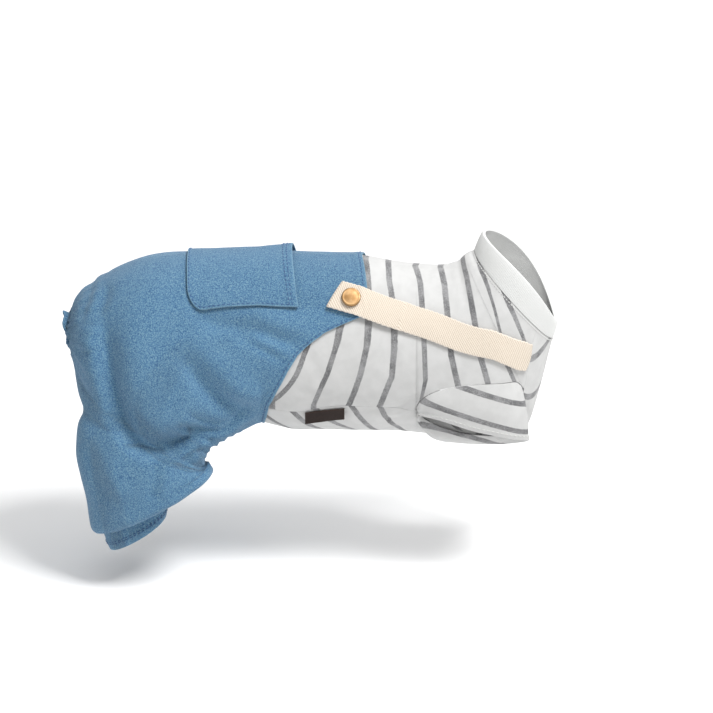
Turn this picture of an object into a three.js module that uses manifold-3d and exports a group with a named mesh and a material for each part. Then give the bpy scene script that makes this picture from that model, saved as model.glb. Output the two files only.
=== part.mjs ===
// Dog jumpsuit: a striped jersey shirt sewn to denim overall trousers with two snapped webbing straps.
// X runs along the back towards the neck, Y to the dog's left, Z up. The origin is on the inner face of
// the shirt's back at the withers, where the garment hangs on the animal.
import * as THREE from "three";
import Module from "manifold-3d";
import { mergeVertices } from "three/addons/utils/BufferGeometryUtils.js";

const wasm = await Module();
wasm.setup();

// Driving dimensions, in millimetres
const rearReach = 230; // withers to the end of the rump
const frontReach = 110; // withers to the front of the neck opening
const trunkDepth = 125; // back to belly
const trunkWidth = 104; // across the chest
const legDrop = 80; // belly line to the trouser hem

const jerseyWall = 1.3;
const denimWall = 1.5;
const ribKnitWall = 2.2; // the collar is a doubled rib knit
const strapWall = 1.6;
const labelWall = 1;
const seamGap = 0.3; // between pieces that are sewn or laid on each other

const bibOverlap = 4.5; // shirt that runs on under the edge of the denim
const collarRoll = 0.6; // how far the middle of the collar stands out
const strapWidth = 20;
const strapFold = 14; // length of the webbing folded under at the rear end
const strapFoldWall = 0.9; // of the folded under layer, as a share of strapWall
const strapEndSkew = 3; // how far the end's lower corner lies behind a square cut
const snapCapRadius = 6.7;
const snapCapHeight = 3.2;
const snapStemRadius = 1.9;
const snapBackRadius = 5;
const snapBackWall = 1.2;
const snapBackSag = 0.3; // the cloth's curve under the flat inner ring
const snapClearance = 0.3;
const pocketLength = 75;
const pocketHalfGirth = 50; // from the middle of the back to the pocket's sewn side
const backRadius = 57.5; // of the curve across the back under the pocket
const pocketCorner = 16; // radius of the two corners at the closed end
const pocketGape = 3.6; // how far the mouth stands off the back
const pocketMouthX = -77; // of the middle of its mouth
const pocketMouthDip = 5; // how far the mouth's ends are in front of its middle
const labelRearX = -67.5;
const labelLength = 28;
const labelHeight = 9;
const labelTuck = 1.8; // how far its free edge lies in under the belly
const holeToolLength = 30; // of the rods that cut the holes, well over any wall
const tailHoleRadius = 12.5;
const tailCasingInside = 5; // gathered elastic casing round the tail hole, inside the seat and out of it
const tailCasingOutside = 3;
const tailCasingLean = 2; // how much further its top stands out than its middle
const tailCasingFlare = 1.2;
const tailGathers = 12;
const tailGatherDepth = 0.6;

// Rows of the body, from the collar's edge to the thigh. Each row is an oval round the trunk between a
// point on the back and a point on the belly. x is a share of the reach to its side, z of trunkDepth,
// half_width and side_forward of half the trunkWidth.
const bodyRows = [
  // back_x, back_z, belly_x, belly_z, half_width, side_forward
  [0.535, 0.197, 1.015, -0.309, 0.71, 0.145],
  [0.482, 0.089, 0.995, -0.412, 0.75, 0.03],
  [0.441, 0.068, 0.918, -0.72, 0.865, 0.06],
  [0.405, 0.044, 0.836, -0.96, 0.96, 0.045],
  [0.364, 0.019, 0.691, -1.072, 1.0, 0.02],
  [0.3, -0.005, 0.473, -1.064, 1.01, 0],
  [0.196, -0.008, 0.218, -1.008, 1.0, 0],
  [0, 0.0104, 0, -0.982, 0.98, 0],
  [-0.117, 0.048, -0.117, -0.982, 0.98, 0],
  [-0.248, 0.054, -0.248, -0.975, 0.962, 0],
  [-0.335, 0.059, -0.335, -0.975, 0.962, 0],
  [-0.435, 0.058, -0.435, -0.924, 0.971, 0],
];

// Rows of one trouser half, from the thigh to the hem, for the near leg. A row starts on the centre seam
// or the inside leg seam, passes over the side and ends on the edge of the groin opening or on the inside
// leg seam again. z is a share of trunkDepth down to -1, then of legDrop. The y columns are shares of
// half the trunkWidth, and start and end are angles round the row, with the back at 0 and the front at 180.
const legRows = [
  // back_x, back_z, front_x, front_z, y_back, y_front, y_out, y_start, y_end, start, end
  [-0.435, 0.058, -0.435, -0.924, 0, 0, 0.971, 0, 0.5, 0, 150],
  [-0.561, 0.058, -0.555, -0.965, 0, 0.5, 1.02, 0, 0.55, 0, 178],
  [-0.665, 0.054, -0.61, -1.06, 0, 0.62, 1.08, 0, 0.6, 0, 182],
  [-0.77, 0.036, -0.616, -1.15, 0, 0.68, 1.12, 0, 0.5, 0, 200],
  [-0.866, -0.026, -0.618, -1.17, 0, 0.7, 1.15, 0, 0.35, 0, 220],
  [-0.952, -0.114, -0.617, -1.18, 0, 0.7, 1.16, 0, 0.22, 0, 235],
  [-1.006, -0.228, -0.616, -1.185, 0, 0.7, 1.17, 0, 0.14, 0, 248],
  [-1.02, -0.384, -0.614, -1.19, 0, 0.7, 1.17, 0, 0.08, 0, 257],
  [-1.01, -0.544, -0.614, -1.192, 0, 0.7, 1.18, 0, 0.04, 0, 262],
  [-1.004, -0.624, -0.614, -1.194, 0.15, 0.7, 1.18, 0, 0.03, -20, 265],
  [-0.993, -0.7, -0.614, -1.196, 0.36, 0.7, 1.18, 0, 0.02, -44, 267],
  [-0.978, -0.756, -0.614, -1.198, 0.56, 0.7, 1.18, 0, 0.01, -68, 269],
  [-0.978, -0.8, -0.614, -1.2, 0.67, 0.7, 1.18, 0.003, 0.003, -90, 270],
  [-0.992, -0.87, -0.614, -1.202, 0.71, 0.71, 1.19, 0.1, 0.1, -90, 270],
  [-1.001, -1.06, -0.612, -1.205, 0.72, 0.72, 1.22, 0.16, 0.16, -90, 270],
  [-0.977, -1.42, -0.608, -1.21, 0.72, 0.72, 1.24, 0.18, 0.18, -90, 270],
  [-0.953, -1.74, -0.604, -1.215, 0.71, 0.71, 1.21, 0.2, 0.2, -90, 270],
  [-0.938, -1.745, -0.715, -1.41, 0.7, 0.7, 1.1, 0.29, 0.29, -90, 270],
  [-0.903, -1.95, -0.742, -1.645, 0.7, 0.7, 1.06, 0.32, 0.32, -90, 270],
];
const thighRow = bodyRows.length - 1; // the body's last row is the legs' first
const tailRow = thighRow + 7;
const crotchRow = thighRow + 12; // the two halves part here, and each becomes a leg
const hemRow = thighRow + legRows.length - 1;

// Edge of the bib, as the row at each angle from the middle of the back down to the belly
const bibEdge = [
  // angle, x as a share of rearReach
  [0, -0.119],
  [15, -0.113],
  [39, -0.103],
  [50, -0.09],
  [54, -0.089],
  [59, -0.138],
  [69, -0.235],
  [77, -0.283],
  [83, -0.316],
  [94, -0.347],
  [108, -0.374],
  [123, -0.398],
  [150, -0.415],
];

// Armhole, in rows and in degrees from the middle of the back
const armhole = { row: 4.5, halfRows: 2, angle: 119, up: 24, down: 22 };
const sleeveFit = 0.98; // the sleeve's seam as a share of the armhole, which leaves the seam gap
const sleeveBulge = 2.5;
const sideSeam = [
  // row, angle
  [1, 121],
  [1.6, 117],
  [2.6, 124],
  [6.5, 121],
  [8.5, 120],
  [9.5, 126],
  [11.5, 130],
];

// Hem of the sleeve, from its front end over the side, in shares of frontReach, half width and trunkDepth
const sleeveHem = [
  // x, y, z, an eighth of a turn apart
  [0.83, 0.73, -0.952],
  [0.727, 0.92, -0.912],
  [0.464, 0.98, -0.851],
  [0.236, 0.942, -0.788],
  [0.109, 0.81, -0.79],
  [0.22, 0.6, -0.955],
  [0.455, 0.46, -1.005],
  [0.673, 0.54, -1.0],
];

// Middle line of the webbing strap: how far it is on the bib goes from 1 down to 0 where it meets the shirt
const strapLine = [
  // row, angle, on_bib, ease over the cloth as a share of strapWall
  [8.63, 43, 1, 0],
  [7.95, 48.3, 1, 0],
  [7.35, 51.6, 0.8, 0.1],
  [6.4, 56, 0.1, 0.2],
  [4.9, 63.5, 0, 0.2],
  [3.3, 74.5, 0, 0.2],
  [2.38, 92, 0, 0.3],
  [1.87, 112.5, 0, 0.1],
];
const snapPlace = { row: 8.27, angle: 46 };
const labelAngle = { rear: 126.5, front: 121.5 };

const denimLift = seamGap + denimWall; // outer face of the denim over the shirt's outer face
const halfWidth = trunkWidth / 2;
const along = (share) => share * (share < 0 ? rearReach : frontReach);
const down = (share) =>
  share > -1 ? share * trunkDepth : (share + 1) * legDrop - trunkDepth;
const radians = THREE.MathUtils.degToRad;

// A smooth curve through a table's column at a row number that need not be whole
function columnAt(table, column, row) {
  const last = table.length - 1;
  const i = THREE.MathUtils.clamp(Math.floor(row), 0, last - 1);
  const f = row - i;
  const at = (k) => table[THREE.MathUtils.clamp(k, 0, last)][column];
  const [p0, p1, p2, p3] = [at(i - 1), at(i), at(i + 1), at(i + 2)];
  const bend = (2 * p0 - 5 * p1 + 4 * p2 - p3) * f * f + (3 * p1 - p0 - 3 * p2 + p3) * f * f * f;
  return 0.5 * (2 * p1 + (p2 - p0) * f + bend);
}

// A value between the rows of a table keyed by its first column
function lookUp(table, key, column = 1) {
  const k = table.findIndex((row) => row[0] >= key);
  if (k <= 0) return table[k < 0 ? table.length - 1 : 0][column];
  const [a, b] = [table[k - 1], table[k]];
  return THREE.MathUtils.lerp(a[column], b[column], (key - a[0]) / (b[0] - a[0]));
}

// A point of the shirt's outer face, or of the same skin carried on along the near trouser half
function skinPoint(row, angle) {
  const inLeg = row > thighRow;
  const table = inLeg ? legRows : bodyRows;
  const r = inLeg ? row - thighRow : row;
  const value = (column) => columnAt(table, column, r);
  const back = [along(value(0)), down(value(1))];
  const front = [along(value(2)), down(value(3))];
  const turn = radians(angle);
  const [cos, sin] = [Math.cos(turn), Math.sin(turn)];
  const middle = [(back[0] + front[0]) / 2, (back[1] + front[1]) / 2];
  const reach = [(back[0] - front[0]) / 2, (back[1] - front[1]) / 2];
  const x = middle[0] + reach[0] * cos;
  const z = middle[1] + reach[1] * cos;
  if (!inLeg) {
    const forward = (value(5) * halfWidth * sin * sin) / Math.hypot(...reach);
    return new THREE.Vector3(x + reach[1] * forward, -value(4) * halfWidth * sin, z - reach[0] * forward);
  }
  const [yBack, yFront, yOut, yStart, yEnd] = [4, 5, 6, 7, 8].map((c) => value(c) * halfWidth);
  const [start, end] = [value(9), value(10)];
  let y = yOut;
  if (angle < 0) y = yBack - ((yBack - yStart) * sin) / Math.sin(radians(Math.min(start, -1)));
  else if (angle <= 90) y = yBack + (yOut - yBack) * sin;
  else if (angle <= 180) y = yFront + (yOut - yFront) * sin;
  else y = yFront - ((yFront - yEnd) * sin) / Math.sin(radians(Math.max(end, 181)));
  return new THREE.Vector3(x, -y, z);
}

// The same point raised off the skin by a height
function skin(row, angle, height = 0) {
  const step = 0.02; // rows either side from which the slope is taken
  const across = skinPoint(row, angle + 1).sub(skinPoint(row, angle - 1));
  const lengthwise = skinPoint(row + step, angle).sub(skinPoint(row - step, angle));
  const normal = lengthwise.cross(across).normalize();
  return skinPoint(row, angle).addScaledVector(normal, height);
}

// The skin round the whole trunk: a negative angle is on the far side
function around(row, angle, height = 0) {
  const turned = THREE.MathUtils.euclideanModulo(angle + 180, 360) - 180;
  const point = skin(row, Math.abs(turned), height);
  if (turned < 0) point.y = -point.y;
  return point;
}

// Row of the body at an x behind the withers
function rowAt(x) {
  const share = x / (x < 0 ? rearReach : frontReach);
  const k = bodyRows.findIndex((row) => row[0] <= share);
  if (k < 0) return thighRow + (share - bodyRows[thighRow][0]) / (legRows[1][0] - legRows[0][0]);
  const [a, b] = [bodyRows[k - 1][0], bodyRows[k][0]];
  return k - 1 + (share - a) / (b - a);
}
const bibRow = (angle, overlap = 0) =>
  rowAt(lookUp(bibEdge, Math.abs(angle)) * rearReach - overlap);

// A closed surface from its points and faces, turned so that its faces look outwards
function geometryOf(points, faces) {
  const geometry = new THREE.BufferGeometry().setFromPoints(points);
  let volume = 0;
  for (let i = 0; i < faces.length; i += 3)
    volume += points[faces[i]].dot(points[faces[i + 1]].clone().cross(points[faces[i + 2]]));
  geometry.setIndex(volume < 0 ? faces.slice().reverse() : faces);
  return geometry;
}

// A sheet with a thickness: face(u, v, side) gives the outer face at side 1 and the inner one at side 0.
// From the row numbered closedFrom on, the last column is the first one again, and the sheet is a tube.
function sheet(face, columns, rows, closedFrom = Infinity) {
  const points = [];
  const wide = columns + 1;
  for (const side of [1, 0])
    for (let j = 0; j <= rows; j++)
      for (let i = 0; i < wide; i++) points.push(face(i / columns, j / rows, side));
  const at = (i, j, side) =>
    (1 - side) * wide * (rows + 1) + j * wide + (j >= closedFrom ? i % columns : i);
  const faces = [];
  const quad = (a, b, c, d) => faces.push(a, b, c, c, b, d);
  for (let j = 0; j < rows; j++)
    for (let i = 0; i < columns; i++) {
      quad(at(i, j, 1), at(i, j + 1, 1), at(i + 1, j, 1), at(i + 1, j + 1, 1));
      quad(at(i, j, 0), at(i + 1, j, 0), at(i, j + 1, 0), at(i + 1, j + 1, 0));
    }
  for (let i = 0; i < columns; i++) {
    quad(at(i, 0, 1), at(i + 1, 0, 1), at(i, 0, 0), at(i + 1, 0, 0));
    quad(at(i + 1, rows, 1), at(i, rows, 1), at(i + 1, rows, 0), at(i, rows, 0));
  }
  for (let j = 0; j < Math.min(rows, closedFrom); j++) {
    quad(at(0, j + 1, 1), at(0, j, 1), at(0, j + 1, 0), at(0, j, 0));
    quad(at(columns, j, 1), at(columns, j + 1, 1), at(columns, j, 0), at(columns, j + 1, 0));
  }
  return geometryOf(points, faces);
}

function solidOf(geometry) {
  const bare = geometry.clone();
  bare.deleteAttribute("normal");
  bare.deleteAttribute("uv");
  const merged = mergeVertices(bare, 1e-4);
  return new wasm.Manifold(
    new wasm.Mesh({
      numProp: 3,
      vertProperties: merged.attributes.position.array,
      triVerts: new Uint32Array(merged.index.array),
    }),
  );
}

function geometryFrom(solid) {
  const mesh = solid.getMesh();
  const geometry = new THREE.BufferGeometry();
  geometry.setAttribute("position", new THREE.BufferAttribute(mesh.vertProperties, 3));
  geometry.setIndex(new THREE.BufferAttribute(mesh.triVerts, 1));
  return geometry;
}

function cut(geometry, ...tools) {
  return geometryFrom(tools.reduce((solid, tool) => solid.subtract(solidOf(tool)), solidOf(geometry)));
}

// The far side's copy of a near side piece, with its faces turned back outwards
function mirrored(geometry) {
  const copy = geometry.clone().applyMatrix4(new THREE.Matrix4().makeScale(1, -1, 1));
  const index = copy.index.array;
  for (let i = 0; i < index.length; i += 3) [index[i + 1], index[i + 2]] = [index[i + 2], index[i + 1]];
  return copy;
}

const armTurn = (row) => Math.sqrt(Math.max(0, 1 - ((row - armhole.row) / armhole.halfRows) ** 2));
const seamAngle = (row) => lookUp(sideSeam, row);
const gapAngle = THREE.MathUtils.radToDeg(seamGap / 2 / halfWidth);

// Lower edge of the back panel: the side seam, then over the armhole
function backPanelEdge(row) {
  const arm = Math.abs(row - armhole.row) < armhole.halfRows;
  return Math.min(seamAngle(row), arm ? armhole.angle - armhole.up * armTurn(row) : 180) - gapAngle;
}
// Upper edge of the belly panel: the side seam, then under the armhole
function bellyPanelEdge(row) {
  const arm = Math.abs(row - armhole.row) < armhole.halfRows;
  return Math.max(seamAngle(row), arm ? armhole.angle + armhole.down * armTurn(row) : 0) + gapAngle;
}

// Rows of the shirt panels: down to the armhole, closely along it, and on to the panel's rear end, so that
// both panels and the sleeve share their points round the armhole
const collarGapRows = 0.03;
const chestSteps = 2;
const armSteps = 12;
const flankSteps = 4;
const panelSteps = chestSteps + armSteps + flankSteps;
function panelRow(v, lastRow) {
  const step = Math.round(v * panelSteps);
  const [top, bottom] = [armhole.row - armhole.halfRows, armhole.row + armhole.halfRows];
  if (step < chestSteps) return THREE.MathUtils.lerp(1 + collarGapRows, top, step / chestSteps);
  const alongArm = step - chestSteps;
  if (alongArm <= armSteps) return armhole.row - armhole.halfRows * Math.cos((alongArm / armSteps) * Math.PI);
  return THREE.MathUtils.lerp(bottom, lastRow, (alongArm - armSteps) / flankSteps);
}

function shirtBackPanel() {
  return sheet((u, v, side) => {
    const near = (u - 0.5) * 2;
    const flankAngle = seamAngle(thighRow) * near;
    const row = panelRow(v, bibRow(flankAngle, bibOverlap));
    return around(row, backPanelEdge(row) * near, (side - 1) * jerseyWall);
  }, 24, panelSteps);
}

function bellyPanel() {
  const lastRow = bibRow(150, bibOverlap);
  return sheet((u, v, side) => {
    const row = panelRow(v, lastRow);
    const edge = bellyPanelEdge(row);
    return around(row, edge + u * (360 - 2 * edge), (side - 1) * jerseyWall);
  }, 12, panelSteps);
}

function collar() {
  return sheet((u, v, side) => {
    const roll = Math.sin(Math.PI * v) * collarRoll;
    return around(v, u * 360, roll + (side - 1) * ribKnitWall + (ribKnitWall - jerseyWall) / 2);
  }, 32, 2, 0);
}

// The sleeve leaves the armhole flush with the panels and drops to its hem
const sleeveHemCurve = new THREE.CatmullRomCurve3(
  sleeveHem.map(([x, y, z]) => new THREE.Vector3(x * frontReach, -y * halfWidth, z * trunkDepth)),
  true,
  "centripetal",
);

function sleeveFace(u, v) {
  const turn = u * 2 * Math.PI;
  const reach = Math.sin(turn) > 0 ? armhole.up : armhole.down;
  const row = armhole.row - armhole.halfRows * sleeveFit * Math.cos(turn);
  const angle = armhole.angle - reach * sleeveFit * Math.sin(turn);
  const outward = skin(row, angle, 1).sub(skin(row, angle, 0));
  const point = skin(row, angle).lerp(sleeveHemCurve.getPoint(THREE.MathUtils.euclideanModulo(u, 1)), v);
  return point.addScaledVector(outward, sleeveBulge * Math.sin(Math.PI * v));
}

function sleeve() {
  const step = 0.01;
  return sheet((u, v, side) => {
    const round = sleeveFace(u + step, v).sub(sleeveFace(u - step, v));
    const fall = sleeveFace(u, v + step).sub(sleeveFace(u, v - step));
    const outward = new THREE.Vector3().crossVectors(round, fall).normalize();
    return sleeveFace(u, v).addScaledVector(outward, (side - 1) * jerseyWall);
  }, 2 * armSteps, 3, 0);
}

// One half of the trousers: the bib and the seat on the trunk's rows, then the leg
function trouser() {
  const bibSteps = 6;
  const seatSteps = crotchRow - thighRow;
  const legSteps = 2 * (hemRow - crotchRow);
  const rows = bibSteps + seatSteps + legSteps;
  const [startColumn, endColumn] = [9, 10];
  const shell = sheet((u, v, side) => {
    const j = Math.round(v * rows);
    const below = j - bibSteps - seatSteps;
    let row = crotchRow + (below > 0 ? below / 2 : below);
    const legPlace = Math.max(0, row - thighRow);
    const start = columnAt(legRows, startColumn, legPlace);
    const end = columnAt(legRows, endColumn, legPlace);
    const angle = start + u * (end - start);
    if (j <= bibSteps) row = THREE.MathUtils.lerp(bibRow(angle), thighRow, j / bibSteps);
    const point = skin(row, angle, seamGap + side * denimWall);
    point.y = Math.min(point.y, -seamGap / 2);
    return point;
  }, 20, rows, bibSteps + seatSteps);
  return cut(shell, tailHoleTool(), snapHoleTool());
}

function tailHoleTool() {
  const tool = new THREE.CylinderGeometry(tailHoleRadius, tailHoleRadius, holeToolLength, 24);
  tool.rotateZ(Math.PI / 2);
  const seat = skin(tailRow, 0);
  return tool.translate(seat.x, 0, seat.z);
}

// The casing is a short gathered tube that comes out of the tail hole
function tailCasing() {
  const seat = skin(tailRow, 0, seamGap + denimWall);
  return sheet((u, v, side) => {
    const turn = u * 2 * Math.PI;
    const out = Math.max(0, v * 2 - 1);
    const gather = tailGatherDepth * out * Math.cos(turn * tailGathers);
    const radius = tailHoleRadius - 2 * seamGap + out * tailCasingFlare - (1 - side) * denimWall + gather;
    const lean = tailCasingLean * Math.cos(turn);
    const x = seat.x + tailCasingInside - v * (tailCasingInside + tailCasingOutside + lean);
    return new THREE.Vector3(x, radius * Math.sin(turn), seat.z + radius * Math.cos(turn));
  }, 36, 2, 0);
}

// Patch pocket across the middle of the bib, open towards the neck
function bibPocket() {
  const rearX = pocketMouthX - pocketLength;
  const degreesPerMm = THREE.MathUtils.radToDeg(1 / backRadius);
  return sheet((u, v, side) => {
    const girth = (u * 2 - 1) * pocketHalfGirth;
    const intoCorner = Math.max(0, Math.abs(girth) - (pocketHalfGirth - pocketCorner));
    const rounded = pocketCorner - Math.sqrt(pocketCorner ** 2 - intoCorner ** 2);
    const rear = rearX + rounded;
    const mouth = pocketMouthX + pocketMouthDip * (girth / pocketHalfGirth) ** 2;
    const x = mouth + v * (rear - mouth);
    const open = ((x - rearX) / pocketLength) ** 2 * (1 - (girth / pocketHalfGirth) ** 2);
    const height = denimLift + seamGap + pocketGape * open + side * denimWall;
    return around(rowAt(x), girth * degreesPerMm, height);
  }, 16, 7);
}

const strapMiddle = new THREE.CatmullRomCurve3(
  strapLine.map(([row, angle, onBib, ease]) =>
    skin(row, angle, seamGap + onBib * denimLift + ease * strapWall),
  ),
  false,
  "centripetal",
);

function strapFrame(share) {
  const place = strapMiddle.getPointAt(share);
  const forward = strapMiddle.getTangentAt(share);
  const k = share * (strapLine.length - 1);
  const row = columnAt(strapLine, 0, k);
  const angle = columnAt(strapLine, 1, k);
  const up = skin(row, angle, 1).sub(skin(row, angle, 0));
  up.addScaledVector(forward, -up.dot(forward)).normalize();
  const acrossStrap = new THREE.Vector3().crossVectors(up, forward);
  return { place, forward, up, acrossStrap };
}

function strap() {
  const length = strapMiddle.getLength();
  const shell = sheet((u, v, side) => {
    const { place, forward, up, acrossStrap } = strapFrame(v);
    const folded = THREE.MathUtils.smoothstep(strapFold * 1.5 - v * length, 0, strapFold * 0.5);
    const skewed = strapEndSkew * Math.max(0, 1 - (v * length) / strapFold);
    place.addScaledVector(acrossStrap, (u - 0.5) * strapWidth);
    place.addScaledVector(forward, (u - 0.5) * 2 * skewed);
    return place.addScaledVector(up, side * strapWall * (1 + strapFoldWall * folded));
  }, 3, 18);
  return cut(shell, snapHoleTool());
}

// Turns a shape made along Y so that Y points out of the cloth at the snap, with its foot on the denim's
// inner face
function atSnap(geometry) {
  const foot = skin(snapPlace.row, snapPlace.angle, seamGap);
  const up = skin(snapPlace.row, snapPlace.angle, seamGap + 1).sub(foot);
  geometry.applyQuaternion(new THREE.Quaternion().setFromUnitVectors(new THREE.Vector3(0, 1, 0), up));
  return geometry.translate(foot.x, foot.y, foot.z);
}

function snapHoleTool() {
  const radius = snapStemRadius + snapClearance;
  return atSnap(new THREE.CylinderGeometry(radius, radius, holeToolLength, 16));
}

// Cap, stem and inner ring of one snap, turned about its own axis
function snap() {
  const capFoot = denimWall + seamGap + strapWall * (1 + strapFoldWall) + snapClearance;
  const ringTop = -snapClearance - snapBackSag;
  const [r, h] = [snapCapRadius, snapCapHeight];
  const profile = [
    [0, ringTop - snapBackWall],
    [snapBackRadius, ringTop - snapBackWall],
    [snapBackRadius, ringTop],
    [snapStemRadius, ringTop],
    [snapStemRadius, capFoot],
    [r * 0.92, capFoot],
    [r, capFoot + h * 0.18],
    [r * 0.98, capFoot + h * 0.42],
    [r * 0.88, capFoot + h * 0.54],
    [r * 0.78, capFoot + h * 0.5],
    [r * 0.62, capFoot + h * 0.74],
    [r * 0.34, capFoot + h * 0.95],
    [0, capFoot + h],
  ].map(([x, y]) => new THREE.Vector2(x, y));
  return atSnap(new THREE.LatheGeometry(profile, 16));
}

// A tag whose upper edge is caught in the side seam and which hangs free below it
function label() {
  return sheet((u, v, side) => {
    const angle = THREE.MathUtils.lerp(labelAngle.rear, labelAngle.front, u);
    const top = skin(rowAt(labelRearX + u * labelLength), angle, seamGap + side * labelWall);
    return top.add(new THREE.Vector3(0, labelTuck * v, -labelHeight * v));
  }, 4, 2);
}

const group = new THREE.Group();
function add(name, geometry, color, roughness, metalness = 0) {
  const material = new THREE.MeshStandardMaterial({ color, roughness, metalness });
  const mesh = new THREE.Mesh(geometry, material);
  mesh.name = name;
  group.add(mesh);
}

const denim = 0x6a9cc0;
const jersey = 0xe6e8e6;
const webbing = 0xf3e8da;
const brass = 0xc9a06a;
const ribKnit = 0xf1f1ee;
const darkCloth = 0x3c2a22;
add("shirt_back_panel", shirtBackPanel(), jersey, 0.9);
add("belly_panel", bellyPanel(), jersey, 0.9);
add("collar", collar(), ribKnit, 0.95);
add("sleeve_right", sleeve(), jersey, 0.9);
add("sleeve_left", mirrored(sleeve()), jersey, 0.9);
add("trouser_right", trouser(), denim, 0.92);
add("trouser_left", mirrored(trouser()), denim, 0.92);
add("tail_casing", tailCasing(), denim, 0.92);
add("bib_pocket", bibPocket(), denim, 0.92);
add("strap_right", strap(), webbing, 0.85);
add("strap_left", mirrored(strap()), webbing, 0.85);
add("snap_right", snap(), brass, 0.35, 1);
add("snap_left", mirrored(snap()), brass, 0.35, 1);
add("label", label(), darkCloth, 0.9);

export default group;
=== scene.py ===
# %% [markdown]
# A small dog's jumpsuit: a striped jersey shirt sewn to denim overall trousers, with two webbing straps
# that snap to the bib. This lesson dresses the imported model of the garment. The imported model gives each
# piece its place and thickness, and here each piece is made again as cloth: finely divided, with its
# folds, gathers, hems, seams and stitches, and with a woven or knitted finish.

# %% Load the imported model
import math

import bpy
import numpy as np
from mathutils import Matrix, Vector


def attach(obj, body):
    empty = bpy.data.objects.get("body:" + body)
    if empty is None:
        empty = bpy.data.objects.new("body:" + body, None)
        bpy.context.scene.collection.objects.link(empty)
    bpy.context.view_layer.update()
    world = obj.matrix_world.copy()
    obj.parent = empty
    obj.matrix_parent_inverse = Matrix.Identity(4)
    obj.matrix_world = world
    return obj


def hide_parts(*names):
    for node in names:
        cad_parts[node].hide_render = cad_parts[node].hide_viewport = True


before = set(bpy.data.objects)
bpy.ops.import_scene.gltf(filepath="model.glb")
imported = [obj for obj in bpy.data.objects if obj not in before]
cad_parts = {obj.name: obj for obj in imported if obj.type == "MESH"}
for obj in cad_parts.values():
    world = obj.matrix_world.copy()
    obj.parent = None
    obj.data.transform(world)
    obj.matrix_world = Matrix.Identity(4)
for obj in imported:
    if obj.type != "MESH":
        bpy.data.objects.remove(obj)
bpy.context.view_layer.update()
MM = 0.001
print("packed nodes:", len(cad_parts))

# %% [markdown]
# The garment hangs on the origin, at the withers. X runs to the neck, Y to the wearer's left and Z up. The
# sizes below are the pattern's own, in metres, and the tables that follow are shares of them.

# %% Sizes of the pattern
REAR_REACH = 230 * MM
FRONT_REACH = 110 * MM
TRUNK_DEPTH = 125 * MM
HALF_WIDTH = 52 * MM
LEG_DROP = 80 * MM
LEG_BLEND = 0.05  # the share of the depth over which one measure passes softly into the other

JERSEY = 1.3 * MM
DENIM = 1.5 * MM
RIB_KNIT = 2.2 * MM
WEBBING = 1.6 * MM
LABEL = 1 * MM
GAP = 0.3 * MM
DENIM_LIFT = GAP + DENIM  # from the shirt's outer face to the denim's
print("from rear to front, in mm:", round((REAR_REACH + FRONT_REACH) / MM))

# %% [markdown]
# One skin carries the whole garment. A row is an oval round the trunk, and row after row runs from the
# collar's edge to the thigh. Behind the thigh the rows go on down one trouser leg. Every piece is then a
# patch of that skin, so neighbours fit along their seams whatever the sizes are. The skin could be
# sculpted by hand, but a table of ovals is a few numbers that are quick to correct.

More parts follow.
